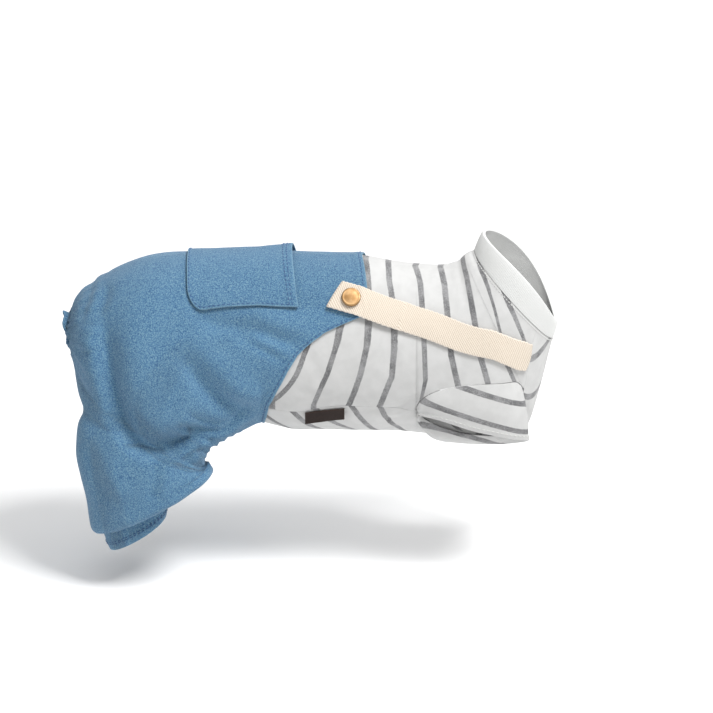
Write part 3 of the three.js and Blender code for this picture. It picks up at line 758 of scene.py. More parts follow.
def row_at(x):
    """Row of the body at an x behind the withers, or in front of them."""
    share = x / np.where(x < 0, REAR_REACH, FRONT_REACH)
    on_body = np.interp(-share, -BODY_ROWS[:, 0], np.arange(len(BODY_ROWS)))
    past_thigh = (share - BODY_ROWS[THIGH_ROW, 0]) / (LEG_ROWS[1, 0] - LEG_ROWS[0, 0])
    return on_body + np.maximum(0, past_thigh)


def bib_row(angle, overlap=0.0):
    return row_at(np.interp(np.abs(angle), *BIB_EDGE.T) * REAR_REACH - overlap)


def seam_angle(row):
    return np.interp(row, *SIDE_SEAM.T)


def arm_turn(row):
    return np.sqrt(np.maximum(0, 1 - ((row - ARMHOLE_ROW) / ARMHOLE_ROWS) ** 2))


SEAM_GAP = 0.04 * MM
SEAM_GAP_ANGLE = math.degrees(SEAM_GAP / HALF_WIDTH)
SEAM_FULL = 0.75  # share of the jersey's wall that is left at its sewn edges


def back_panel_edge(row):
    arm = np.abs(row - ARMHOLE_ROW) < ARMHOLE_ROWS
    over_arm = np.where(arm, ARMHOLE_ANGLE - ARMHOLE_UP * arm_turn(row), 180)
    return np.minimum(seam_angle(row), over_arm) - SEAM_GAP_ANGLE


def belly_panel_edge(row):
    arm = np.abs(row - ARMHOLE_ROW) < ARMHOLE_ROWS
    under_arm = np.where(arm, ARMHOLE_ANGLE + ARMHOLE_DOWN * arm_turn(row), 0)
    return np.maximum(seam_angle(row), under_arm) + SEAM_GAP_ANGLE


def panel_rows(share, last_row):
    """Rows of a shirt panel, close together where the armhole begins and ends."""
    chest, arm = 0.14, 0.7
    first, top, bottom = 1.01, ARMHOLE_ROW - ARMHOLE_ROWS, ARMHOLE_ROW + ARMHOLE_ROWS
    in_chest = first + (top - first) * share / chest
    turn = np.clip((share - chest) / (arm - chest), 0, 1)
    in_arm = ARMHOLE_ROW - ARMHOLE_ROWS * np.cos(turn * np.pi)
    behind = bottom + (last_row - bottom) * (share - arm) / (1 - arm)
    return np.select([share < chest, share <= arm], [in_chest, in_arm], behind)


print("armhole from row", ARMHOLE_ROW - ARMHOLE_ROWS, "to row", ARMHOLE_ROW + ARMHOLE_ROWS)

# %% [markdown]
# The stripes of the back run round the trunk and lean forward towards the belly. Each line of the table
# is one stripe, given by the row it has reached at a few angles. Even spacing would be simpler, but the
# real stripes fan out. At the side seam they meet the belly's stripes in a point.

# %% Stripes
STRIPE_ANGLES = [0, 25, 50, 75, 95, 120]
BACK_STRIPES = [
    [-1.6, -1.4, -1, -0.4, 0.1, 0.7],
    [-0.5, 0, 0.5, 1.1, 1.42, 1.8],
    [0.55, 1.0, 1.64, 2.3, 2.7, 2.69],
    [3.05, 3.17, 3.62, 3.97, 3.96, 3.9],
    [5.49, 5.3, 5.29, 5.31, 5.17, 5.1],
    [6.52, 6.38, 6.33, 6.28, 6.25, 6.45],
    [7.275, 7.26, 7.14, 7.14, 7.19, 7.52],
    [7.93, 7.87, 7.82, 7.89, 8.06, 8.33],
    [8.5, 8.45, 8.42, 8.58, 8.8, 9.2],
    [8.9, 8.9, 9.0, 9.35, 9.8, 10.55],
    [9.6, 9.6, 9.8, 10.2, 10.9, 11.8],
    [12.5, 12.5, 12.5, 12.5, 12.7, 13.2],
]
BELLY_ANGLES = [120, 152, 180]
BELLY_STRIPES = [
    [0.4, -0.6, -1.4],
    [1.75, 1.05, 0.5],
    [2.7, 2.1, 1.5],
    [3.9, 3.3, 2.7],
    [5.2, 4.5, 3.8],
    [6.4, 5.8, 5.2],
    [7.5, 6.95, 6.4],
    [8.26, 7.72, 7.2],
    [9.25, 8.3, 7.8],
    [10.2, 9.15, 8.5],
    [11.4, 10.3, 9.6],
    [13, 12, 11],
]


def stripe_count(row, angle, angles, stripes):
    """Number of stripes in front of each point. It is a whole number in the middle of a stripe."""
    at = np.stack([np.interp(np.abs(angle), angles, line) for line in stripes])
    return sum(np.clip((row - at[k]) / (at[k + 1] - at[k]), 0, 1) for k in range(len(stripes) - 1))


def stripe_distance(count, points):
    """Distance from the middle of the nearest stripe, from the count and how fast it changes."""
    across = np.gradient(measured(points, 1), axis=1)
    lengthwise = np.gradient(measured(points, 0), axis=0)
    rate = np.hypot(np.gradient(count, axis=0) / lengthwise, np.gradient(count, axis=1) / across)
    return np.abs(count - np.round(count)) / np.maximum(rate, 1)


def rim_of(points):
    """Distance of each grid point from the nearest edge of its sheet."""
    across, lengthwise = measured(points, 1), measured(points, 0)
    sides = [across, across[:, -1:] - across, lengthwise, lengthwise[-1:] - lengthwise]
    return np.minimum.reduce(sides)


print("stripes on the back and on the belly:", len(BACK_STRIPES), len(BELLY_STRIPES))

# %% [markdown]
# The shirt is two panels. Each could be cut from a tube, but a grid of its own lets the panel's rows
# close up where the armhole begins and ends, and lets its edges follow the side seam exactly.

# %% Back and belly of the shirt
BELLY_SIDE = 150  # angle at which the belly panel's end follows the bib
BACK_ACROSS, BACK_ALONG = (170, 240 * MM), (160, 130 * MM)  # columns or rows, and roughly the cloth's size
BELLY_ACROSS, BELLY_ALONG = (70, 100 * MM), (150, 190 * MM)


def shirt_panel(name, row, angle, count, fall):
    base = skin(row, angle)
    return cloth(
        name, base, JERSEY, JERSEY_CLOTH, "striped_jersey", name.replace("_jersey", ""),
        "stretched", low=-JERSEY, relief=jersey_relief(base), fall=fall,
        marks={"stripe": stripe_distance(count, base), "rim": rim_of(base)},
    )


def back_panel():
    across, full_across = steps(*BACK_ACROSS, JERSEY, SEAM_FULL)
    lengthwise, full_lengthwise = steps(*BACK_ALONG, JERSEY, SEAM_FULL)
    near = across[None, :] * 2 - 1
    flank = seam_angle(THIGH_ROW) * near
    row = panel_rows(lengthwise[:, None], bib_row(flank, BIB_OVERLAP))
    angle = back_panel_edge(row) * near
    count = stripe_count(row, angle, STRIPE_ANGLES, BACK_STRIPES)
    fall = full_across[None, :] * full_lengthwise[:, None]
    return shirt_panel("shirt_back_panel_jersey", row, angle, count, fall)


def belly_panel():
    across, full_across = steps(*BELLY_ACROSS, JERSEY, SEAM_FULL)
    lengthwise, full_lengthwise = steps(*BELLY_ALONG, JERSEY, SEAM_FULL)
    row = panel_rows(lengthwise[:, None], bib_row(BELLY_SIDE, BIB_OVERLAP)) + 0 * across[None, :]
    edge = belly_panel_edge(row)
    angle = edge + across[None, :] * (360 - 2 * edge)
    from_back = 180 - np.abs(angle - 180)
    count = stripe_count(row, from_back, BELLY_ANGLES, BELLY_STRIPES)
    fall = full_across[None, :] * full_lengthwise[:, None]
    return shirt_panel("belly_panel_jersey", row, angle, count, fall)


back_outer, back_normal = back_panel()
belly_outer, belly_normal = belly_panel()

# %% [markdown]
# The collar is a doubled band of rib knit. Its ribs stand across the band, a little over a millimetre
# apart. They could be a bump in the finish, but they show along the collar's edge, so they are real
# relief here. The band's middle rolls outwards a little.

# %% Collar
RIBS = 218
COLLAR_ROLL = 0.6 * MM
RIB_HEIGHT = 0.13 * MM
RIB_COLUMNS = 4  # columns of the grid for one rib
COLLAR_ALONG = (12, 16 * MM)  # rows, and roughly how wide the band is
COLLAR_SEAM_FULL = 0.9


def collar():
    turn = np.linspace(0, 1, RIBS * RIB_COLUMNS + 1)[None, :]
    lengthwise, full = steps(*COLLAR_ALONG, RIB_KNIT)
    base = skin(lengthwise[:, None] + 0 * turn, turn * 360)
    rib = np.cos(turn * RIBS * 2 * np.pi) * smooth(full[:, None], 0.3, 1)
    roll = np.sin(np.pi * lengthwise)[:, None] * COLLAR_ROLL
    full = np.where(lengthwise > 0.5, np.maximum(full, COLLAR_SEAM_FULL), full)
    cloth(
        "collar_rib", base, RIB_KNIT, RIB_CLOTH, "rib_knit", "collar", "stretched",
        low=-(RIB_KNIT + JERSEY) / 2, relief=roll + RIB_HEIGHT * rib + jersey_relief(base),
        fall=full[:, None], closed_from=0, marks={"rib": rib},
    )


collar()

# %% [markdown]
# A sleeve leaves the armhole flush with the panels and drops to a hem that is longer at the front. The
# hem is a closed curve through eight points. Two rings could simply be bridged, but a grid between them
# lets the cloth bulge and pucker. Its stripes are nearly level and meet the shirt's at the armhole.

# %% Sleeves
SLEEVE_HEM = np.array([
    # x, y, z in shares of the front reach, half width and trunk depth, an eighth of a turn apart
    [0.83, 0.73, -0.952],
    [0.727, 0.92, -0.912],
    [0.464, 0.98, -0.851],
    [0.236, 0.942, -0.788],
    [0.109, 0.81, -0.79],
    [0.22, 0.6, -0.955],
    [0.455, 0.46, -1.005],
    [0.673, 0.54, -1.0],
])
SLEEVE_ROUND = 160  # columns of the grid once round the arm
SLEEVE_ALONG = (26, 30 * MM)  # rows, and roughly how long the cloth is
ROW_STEP = 0.02
SLEEVE_FIT = 0.992  # size of the sleeve's top as a share of the armhole's
SLEEVE_BULGE = 2.5 * MM
SLEEVE_HEM_STITCH = 4 * MM
SLEEVE_HEM_WALL = 0.5 * MM  # how far the turned hem stands out
SLEEVE_PUCKER = 0.15 * MM
SLEEVE_PUCKERS = 23
PUCKER_FADE = 9  # how fast the puckers fade from the armhole to the hem
STRIPE_DROP = 21 * MM  # from one stripe of the sleeve to the next, measured straight down
STRIPE_SLOPE = -0.35
STRIPES_ABOVE = 20  # keeps the count of stripes above zero
STRIPE_START = (14 * MM, -83.5 * MM)  # x and z where a stripe leaves the armhole


def loop_at(points, share):
    """A smooth closed curve through points, at shares of one round."""
    count = len(points)
    looped = np.concatenate([points[-1:], points, points[:3]])
    place = share * count + 1
    return np.stack([curve_at(looped, c, place) for c in range(3)], -1)


def skin_ways(row, angle):
    """How the skin runs on from a point, lengthwise over two small steps and across over two degrees."""
    lengthwise = skin(row + ROW_STEP, angle) - skin(row - ROW_STEP, angle)
    return lengthwise, skin(row, angle + 1) - skin(row, angle - 1)


def skin_up(row, angle):
    """The direction straight off the skin."""
    up = np.cross(*skin_ways(row, angle))
    return up / np.linalg.norm(up, axis=-1, keepdims=True)


def sleeve(side, name):
    turn = np.linspace(0, 1, SLEEVE_ROUND + 1)
    lengthwise, full = steps(*SLEEVE_ALONG, JERSEY)
    full = np.where(lengthwise < 0.5, np.maximum(full, SEAM_FULL), full)
    hem = loop_at(SLEEVE_HEM, turn) * [FRONT_REACH, -HALF_WIDTH, TRUNK_DEPTH]
    arc = turn * 2 * np.pi
    reach = np.where(np.sin(arc) > 0, ARMHOLE_UP, ARMHOLE_DOWN)
    row = ARMHOLE_ROW - ARMHOLE_ROWS * SLEEVE_FIT * np.cos(arc)
    angle = ARMHOLE_ANGLE - reach * SLEEVE_FIT * np.sin(arc)
    top = skin(row, angle)
    v = lengthwise[:, None, None]
    outward = skin_up(row, angle)
    base = top[None] * (1 - v) + hem[None] * v + outward[None] * np.sin(np.pi * v) * SLEEVE_BULGE
    pucker = SLEEVE_PUCKER * np.sin(turn * 2 * np.pi * SLEEVE_PUCKERS)[None, :]
    pucker = pucker * np.exp(-lengthwise[:, None] * PUCKER_FADE)
    from_hem = measured(base[::-1], 0)[::-1]
    past_stitch = smooth(from_hem, SLEEVE_HEM_STITCH, SLEEVE_HEM_STITCH + MM)
    hem_wall = SLEEVE_HEM_WALL * (1 - past_stitch)
    base = base * [1, side, 1]
    line = STRIPE_START[1] + STRIPE_SLOPE * (base[..., 0] - STRIPE_START[0])
    count = (line - base[..., 2]) / STRIPE_DROP + STRIPES_ABOVE
    normal = normals_of(base, True)
    towards = (normal * (base - base.mean((0, 1)))).sum()
    return cloth(
        name, base, JERSEY, JERSEY_CLOTH, "striped_jersey", name.replace("_jersey", ""), "hung",
        low=-JERSEY, relief=pucker + hem_wall + jersey_relief(base), fall=full[:, None],
        normal=normal * np.sign(towards), closed_from=0,
        marks={"stripe": stripe_distance(count, base), "rim": from_hem},
    )


sleeve_right = sleeve(1, "sleeve_right_jersey")
sleeve_left = sleeve(-1, "sleeve_left_jersey")

# %% [markdown]
# Each half of the trousers is one grid: the bib and the seat are patches of the trunk, and past the
# crotch the grid closes into a leg. A round hole is left for the tail, and the cloth is gathered round
# it and along the edge of the groin, where an elastic draws it in. The hem is turned up and stitched.
# Leg and seat could be two pieces, but no seam shows between them, and one grid has none to hide.

# %% The bib's edge
BIB_HEM = 6 * MM
BIB_STITCH = 2.6 * MM
BIB_STITCH_DENT = 0.25 * MM
BIB_CALM = 25 * MM  # how far the doubled edge keeps the cloth calm
EDGE_CALM = 0.35  # share of the unevenness that is left at the edge
HEM_LIFT = 0.45 * MM


def bib_relief(points, from_edge):
    """Rise of the bib's cloth: calm near its turned edge, which is doubled and stitched."""
    calm = 1 - (1 - EDGE_CALM) * (1 - smooth(from_edge, 0, BIB_CALM))
    hem = HEM_LIFT * (1 - smooth(from_edge, BIB_HEM - MM, BIB_HEM + MM))
    stitch = BIB_STITCH_DENT * np.exp(-(((from_edge - BIB_STITCH) / (0.6 * MM)) ** 2))
    return denim_relief(points) * calm + hem - stitch


def bib_rise(points, angle):
    edge = np.interp(angle, *BIB_EDGE.T) * REAR_REACH
    return bib_relief(points, np.maximum(0, edge - points[..., 0]))


print("the bib ends at x, in mm:", round(BIB_EDGE[0, 1] * REAR_REACH / MM, 1))

# %% The grid of one half
TROUSER_ACROSS = (138, 190 * MM)  # columns, and roughly how wide the cloth is
TROUSER_ALONG = (232, 330 * MM)  # rows, and roughly how long the cloth is
BIB_SHARE, SEAT_SHARE = 0.24, 0.62  # where the bib and the seat end along the grid
THIGH_PAST, THIGH_SPREAD, THIGH_BLUR = 0.3, 0.9, 14  # rows past the thigh, and how widely they soften


def blurred(grid, reach):
    """A grid averaged along its rows' direction over this many rows either way."""
    padded = np.concatenate([grid[:1]] * reach + [grid] + [grid[-1:]] * reach)
    weights = np.hanning(2 * reach + 3)[1:-1]
    weights /= weights.sum()
    return sum(w * padded[k : k + len(grid)] for k, w in enumerate(weights))


def trouser_rows(lengthwise):
    """The skin's row at each step behind the bib, and the number of the step at the crotch."""
    row = np.where(
        lengthwise < SEAT_SHARE,
        THIGH_ROW + (CROTCH_ROW - THIGH_ROW) * (lengthwise - BIB_SHARE) / (SEAT_SHARE - BIB_SHARE),
        CROTCH_ROW + (HEM_ROW - CROTCH_ROW) * (lengthwise - SEAT_SHARE) / (1 - SEAT_SHARE),
    )
    crotch = int(np.argmax(row >= CROTCH_ROW))
    row[crotch] = CROTCH_ROW
    return row, crotch


def trouser_points(across, lengthwise, row):
    """Points of the right half and their rows. The bib's first row follows the bib's edge."""
    place = np.maximum(0, row - THIGH_ROW)
    start, end = (curve_at(LEG_ROWS, c, place)[:, None] for c in (9, 10))
    start = np.minimum(start, 0)
    angle = start + across[None, :] * (end - start)
    on_bib = np.clip(lengthwise / BIB_SHARE, 0, 1)[:, None]
    bib = bib_row(angle) + (THIGH_ROW - bib_row(angle)) * on_bib
    rows = np.where(on_bib < 1, bib, row[:, None])
    points = skin(rows, angle)
    near_thigh = np.exp(-(((rows - THIGH_ROW - THIGH_PAST) / THIGH_SPREAD) ** 2)) * on_bib
    return points + near_thigh[..., None] * (blurred(points, THIGH_BLUR) - points), rows


print("steps down to the crotch:", trouser_rows(steps(*TROUSER_ALONG, DENIM)[0])[1])

# %% Gathers and hems of the trousers
TAIL_PLACE = skin(TAIL_ROW, 0.01)
TAIL_HOLE = 12.5 * MM
TAIL_BEHIND = 25 * MM  # how far in front of the hole its gathers may reach
TAIL_GATHERS = 23
TAIL_GATHER = 1.9 * MM
TAIL_SIDEWAYS = 0.7  # share of the gathers that fades above and below the hole
TAIL_REACH = 20 * MM  # how far the gathers run out from the hole
TAIL_CONE = 2.5 * MM  # how far the gathered cloth rises to the casing
GROIN_GATHER = 0.9 * MM
GROIN_PITCH = 6.4 * MM
GROIN_REACH = 12 * MM
GROIN_START = (15 * MM, 30 * MM)  # behind the bib's edge
FOLD_ROW = THIGH_ROW + 16  # where the leg's cloth hangs over the cuff
OVERHANG = 2.4 * MM
CUFF_HEM = 8 * MM
CUFF_STITCHES = (5.6 * MM, 7.2 * MM)
CUFF_STITCH_DENT = 0.2 * MM
INSEAM_DENT = 0.5 * MM


def tail_gathers(points):
    """Rise of the cloth round the tail's hole, which points are in the hole, and their way to its rim."""
    from_axis = np.hypot(points[..., 1], points[..., 2] - TAIL_PLACE[2])
    at_rear = points[..., 0] < TAIL_PLACE[0] + TAIL_BEHIND
    around = np.arctan2(points[..., 1], points[..., 2] - TAIL_PLACE[2])
    pull = np.exp(-np.maximum(0, from_axis - TAIL_HOLE) / TAIL_REACH) * at_rear
    pull *= 1 - TAIL_SIDEWAYS + TAIL_SIDEWAYS * np.abs(np.sin(around))
    fan = np.sin(around * TAIL_GATHERS + 2.5 * wobble(points, 24 * MM, 9))
    hole = (from_axis < TAIL_HOLE) & at_rear
    to_rim = np.where(hole, TAIL_HOLE / np.maximum(from_axis, 1e-6), 1)
    return TAIL_GATHER * pull * fan + TAIL_CONE * pull**2, hole, to_rim


def groin_gathers(points, from_bib, from_groin):
    ripple = np.sin(from_bib[:, -1:] / GROIN_PITCH * 2 * np.pi + 1.5 * wobble(points, 30 * MM, 8))
    return GROIN_GATHER * np.exp(-from_groin / GROIN_REACH) * smooth(from_bib, *GROIN_START) * ripple


def cuff_relief(rows, from_hem):
    """The cloth hangs over the cuff, draws in below, and ends in a turned and stitched hem."""
    relief = OVERHANG * np.exp(-(((rows - FOLD_ROW) / 0.5) ** 2))
    relief -= OVERHANG / 2 * np.exp(-(((rows - FOLD_ROW - 1) / 0.4) ** 2))
    relief += HEM_LIFT * (1 - smooth(from_hem, CUFF_HEM, CUFF_HEM + MM))
    for line in CUFF_STITCHES:
        relief -= CUFF_STITCH_DENT * np.exp(-(((from_hem - line) / (0.5 * MM)) ** 2))
    return relief


print("the tail's hole, in mm:", (TAIL_PLACE / MM).round(1))

# %% Trouser halves
SEAT_SEAM_FULL = 0.85
SEAT_SEAM_GAP = 0.04 * MM
SEAT_SEAM_LAP = 0.06 * MM  # how far each half's edge passes the middle, which closes the seam
SEAT_SEAM_REACH = 5 * MM


def trouser(side, name):
    across, full_across = steps(*TROUSER_ACROSS, DENIM)
    full_across = np.where(across < 0.5, np.maximum(full_across, SEAT_SEAM_FULL), full_across)
    lengthwise, full_lengthwise = steps(*TROUSER_ALONG, DENIM)
    row, crotch = trouser_rows(lengthwise)
    base, rows = trouser_points(across, lengthwise, row)
    above_crotch = (np.arange(len(row)) < crotch)[:, None]
    normal = normals_of(base)
    square = smooth(measured(base, 1), -SEAT_SEAM_REACH / 50, SEAT_SEAM_REACH)
    normal[..., 1] *= np.where(above_crotch, square, 1)
    normal /= np.linalg.norm(normal, axis=-1, keepdims=True)
    base[..., 1] = np.minimum(base[..., 1], -SEAT_SEAM_GAP)
    base, normal = base * [1, side, 1], normal * [1, side, 1]

    from_bib, from_hem = measured(base, 0), measured(base[::-1], 0)[::-1]
    from_centre, from_groin = measured(base, 1), measured(base[:, ::-1], 1)[:, ::-1]
    rise, hole, to_rim = tail_gathers(base)
    rise += groin_gathers(base, from_bib, from_groin) * above_crotch
    rise += bib_relief(base, from_bib) + cuff_relief(rows, from_hem)
    inseam = np.minimum(from_centre, from_groin) * (1 - above_crotch) + above_crotch
    rise -= INSEAM_DENT * np.exp(-((inseam / (0.9 * MM)) ** 2))

    keep = ~(hole[:-1, :-1] & hole[1:, :-1] & hole[1:, 1:] & hole[:-1, 1:])
    base[..., 1] *= to_rim
    base[..., 2] = TAIL_PLACE[2] + (base[..., 2] - TAIL_PLACE[2]) * to_rim
    base[..., 1] = side * np.minimum(side * base[..., 1], -SEAT_SEAM_GAP)
    base[:crotch, 0, 1] = side * SEAT_SEAM_LAP
    fall = np.where(above_crotch, full_across[None, :], 1) * full_lengthwise[:, None]
    return cloth(
        name, base, DENIM, DENIM_CLOTH, "denim", name.replace("_denim", ""), "gathered",
        low=GAP, relief=rise, fall=fall, normal=normal, keep=keep, closed_from=crotch,
        marks={"rim": np.minimum(from_bib, from_hem)},
    )


trouser_right = trouser(1, "trouser_right_denim")
trouser_left = trouser(-1, "trouser_left_denim")

# %% [markdown]
# The tail comes out through a short casing, a tube that an elastic gathers into a ruffle. Its pleats are
# deepest at the free edge. Pleats all alike would look like a gear, so two longer waves vary them.

# %% Tail casing
CASING_INSIDE = 5 * MM
CASING_OUTSIDE = 3 * MM
CASING_LEAN = 2 * MM
CASING_FLARE = 1.2 * MM
CASING_PLEATS = 21
CASING_PLEAT = 0.5 * MM
PLEAT_COLUMNS = 14  # columns of the grid for one pleat
CASING_ALONG = (14, 11 * MM)  # rows, and roughly how wide the cloth is
SLOW_WAVE, QUICK_WAVE = 0.35, 0.2  # how much deeper and shallower the waves make the pleats
CASING_RAGGED = 0.7 * MM  # how far the free edge runs in and out


def tail_casing():
    turn = np.linspace(0, 2 * np.pi, CASING_PLEATS * PLEAT_COLUMNS + 1)[None, :]
    lengthwise, full = steps(*CASING_ALONG, DENIM)
    v = lengthwise[:, None]
    out = np.maximum(0, v * 2 - 1)
    uneven = 1 + SLOW_WAVE * np.sin(turn * 3 + 1) + QUICK_WAVE * np.sin(turn * 7)
    pleat = CASING_PLEAT * (0.25 + out) * np.cos(turn * CASING_PLEATS + np.sin(turn * 2)) * uneven
    radius = TAIL_HOLE - 2 * GAP - DENIM / 2 + out * CASING_FLARE + pleat * out
    lean = CASING_LEAN * np.cos(turn) + CASING_RAGGED * out * np.sin(turn * 5)
    seat_x = TAIL_PLACE[0] - DENIM_LIFT
    x = seat_x + CASING_INSIDE - v * (CASING_INSIDE + CASING_OUTSIDE + lean)
    base = np.stack([x, radius * np.sin(turn), TAIL_PLACE[2] + radius * np.cos(turn)], -1)
    normal = normals_of(base, True)
    normal *= np.sign((normal[..., 2] * np.cos(turn)).sum())
    cloth(
        "tail_casing_denim", base, DENIM, DENIM_CLOTH, "denim", "tail_casing", "gathered",
        low=-DENIM / 2, fall=full[:, None], normal=normal, closed_from=0, marks={"rim": 0.01 + 0 * v},
    )


tail_casing()

# %% [markdown]
# A patch pocket is sewn across the middle of the bib. Its two rear corners are round, its turned edges
# stand up a little, and its mouth, which faces the neck, gapes. A Shrinkwrap modifier could lay a flat
# patch on the bib, but a grid on the same skin rises and falls with the folds below it by itself.

# %% Pocket
POCKET_LENGTH = 79 * MM
POCKET_HALF = 53 * MM
POCKET_CORNER = 16 * MM
POCKET_GAPE = 3.6 * MM
POCKET_MOUTH = -77 * MM
POCKET_DIP = 5 * MM
POCKET_REAR = POCKET_MOUTH - POCKET_LENGTH
BACK_RADIUS = 57.5 * MM
POCKET_STITCH = 1.7 * MM
POCKET_EDGE_LIFT = 0.6 * MM  # how far the sewn edge, which is turned under, stands up
POCKET_DENT = 0.35 * MM
MOUTH_HEM = 6.6 * MM
MOUTH_LIFT = 0.5 * MM
MOUTH_STITCHES = (4 * MM, 6.2 * MM)
MOUTH_DENT = 0.25 * MM


def pocket_place(x, girth):
    points = skin(row_at(x), np.degrees(np.abs(girth) / BACK_RADIUS))
    return points * np.where(girth[..., None] < 0, [1, -1, 1], 1)


def pocket_gape(x, girth):
    return POCKET_GAPE * ((x - POCKET_REAR) / POCKET_LENGTH) ** 2 * (1 - (girth / POCKET_HALF) ** 2)


def pocket_mouth(girth):
    return POCKET_MOUTH + POCKET_DIP * (girth / POCKET_HALF) ** 2


def pocket_rear(girth):
    into = np.maximum(0, np.abs(girth) - (POCKET_HALF - POCKET_CORNER))
    return POCKET_REAR + POCKET_CORNER - np.sqrt(np.maximum(0, POCKET_CORNER**2 - into**2))


POCKET_COLUMNS, POCKET_ROWS = 100, 76
POCKET_ACROSS, POCKET_FULL_ACROSS = steps(POCKET_COLUMNS, 2 * POCKET_HALF, DENIM)
POCKET_LENGTHWISE, POCKET_FULL_LENGTHWISE = steps(POCKET_ROWS, POCKET_LENGTH, DENIM)


def pocket():
    girth = (POCKET_ACROSS * 2 - 1)[None, :] * POCKET_HALF
    mouth, rear = pocket_mouth(girth), pocket_rear(girth)
    x = mouth + POCKET_LENGTHWISE[:, None] * (rear - mouth)
    base = pocket_place(x, girth + 0 * x)
    from_mouth = mouth - x
    from_sewn = np.minimum(x - rear, POCKET_HALF - np.abs(girth))
    relief = denim_relief(base) + pocket_gape(x, girth)
    relief += POCKET_EDGE_LIFT * (1 - smooth(from_sewn, 1.2 * MM, 3 * MM))
    relief += MOUTH_LIFT * (1 - smooth(from_mouth, MOUTH_HEM, MOUTH_HEM + MM))
    relief -= POCKET_DENT * np.exp(-(((from_sewn - POCKET_STITCH) / (0.5 * MM)) ** 2))
    for line in MOUTH_STITCHES:
        relief -= MOUTH_DENT * np.exp(-(((from_mouth - line) / (0.5 * MM)) ** 2))
    return cloth(
        "bib_pocket_denim", base, DENIM, DENIM_CLOTH, "denim", "bib_pocket", "laid",
        low=DENIM_LIFT + GAP, relief=relief,
        fall=POCKET_FULL_ACROSS[None, :] * POCKET_FULL_LENGTHWISE[:, None],
        marks={"rim": np.minimum(from_sewn, from_mouth)},
    )


pocket_outer, pocket_normal = pocket()

# %% [markdown]
# The straps are cotton webbing. Each one is sewn down at the neck, lies over the shoulder and snaps to
# the bib, where its end is folded under. The band is laid on the skin: a middle line in rows and angles,
# and every other thread found by moving sideways from it along the surface. A bevelled curve would be
# quicker, but it would have to be turned by hand wherever the surface turns.

# %% Straps
STRAP_LINE = np.array([
    # row, angle, on_bib, ease over the cloth as a share of the webbing's thickness
    [8.63, 43, 1, 0],
    [7.95, 48.3, 1, 0],
    [7.35, 51.6, 0.8, 0.1],
    [6.4, 56, 0.1, 0.2],
    [4.9, 63.5, 0, 0.2],
    [3.3, 74.5, 0, 0.2],
    [2.38, 92, 0, 0.3],
    [1.68, 120.4, 0, 0.1],
])
STRAP_WIDTH = 20 * MM
STRAP_FOLD = 14 * MM
STRAP_SKEW = 3 * MM  # how much the folded end slants
STRAP_NECK_SKEW = 2.4 * MM
STRAP_NECK_SHORT = 2.5 * MM  # how far before its line's end the band ends at the neck
SELVEDGE_PITCH = 3.4 * MM
SCALLOP = 0.16 * MM  # how far the selvedge waves in and out
LAYER = WEBBING / 2
LAYER_SHARE = 0.97  # how much of its half each of the two layers fills
FOLD_SETTLE = 11 * MM  # over which the band comes down to the cloth past its folded end
LINE_STEPS, TOP_STEPS, TURN_STEPS, FOLD_STEP = 600, 420, 13, 0.5 * MM


def slide(row, angle, move):
    """Row and angle after moving along the skin by a vector."""
    lengthwise, across = skin_ways(row, angle)
    lengthwise, across = lengthwise / (2 * ROW_STEP), across / 2
    a, b, c = (lengthwise**2).sum(-1), (lengthwise * across).sum(-1), (across**2).sum(-1)
    p, q = (move * lengthwise).sum(-1), (move * across).sum(-1)
    det = a * c - b * b
    return row + (c * p - b * q) / det, angle + (a * q - b * p) / det


def strap_rows(length):
    """Travel along the band and its tilt, row by row: under the fold, round it and over the shoulder."""
    fold = np.arange(-STRAP_FOLD, 0, FOLD_STEP)
    turn = np.linspace(-np.pi / 2, np.pi / 2, TURN_STEPS)
    top = np.linspace(0, length - STRAP_NECK_SHORT, TOP_STEPS)[1:]
    travel = np.concatenate([-fold, LAYER * (1 - np.cos(turn)), top])[:, None]
    tilt = np.concatenate([0 * fold - np.pi / 2, turn, 0 * top + np.pi / 2])[:, None]
    return travel, tilt


def strap_sideways(share, travel):
    """How far each thread lies beside the middle line. The selvedges are scalloped."""
    at_edge = smooth(np.abs(share - 0.5), 0.4, 0.5) * np.sign(share - 0.5)
    wave = SCALLOP * np.sin(travel / SELVEDGE_PITCH * 2 * np.pi)
    return (share - 0.5)[None, :] * STRAP_WIDTH + at_edge[None, :] * wave


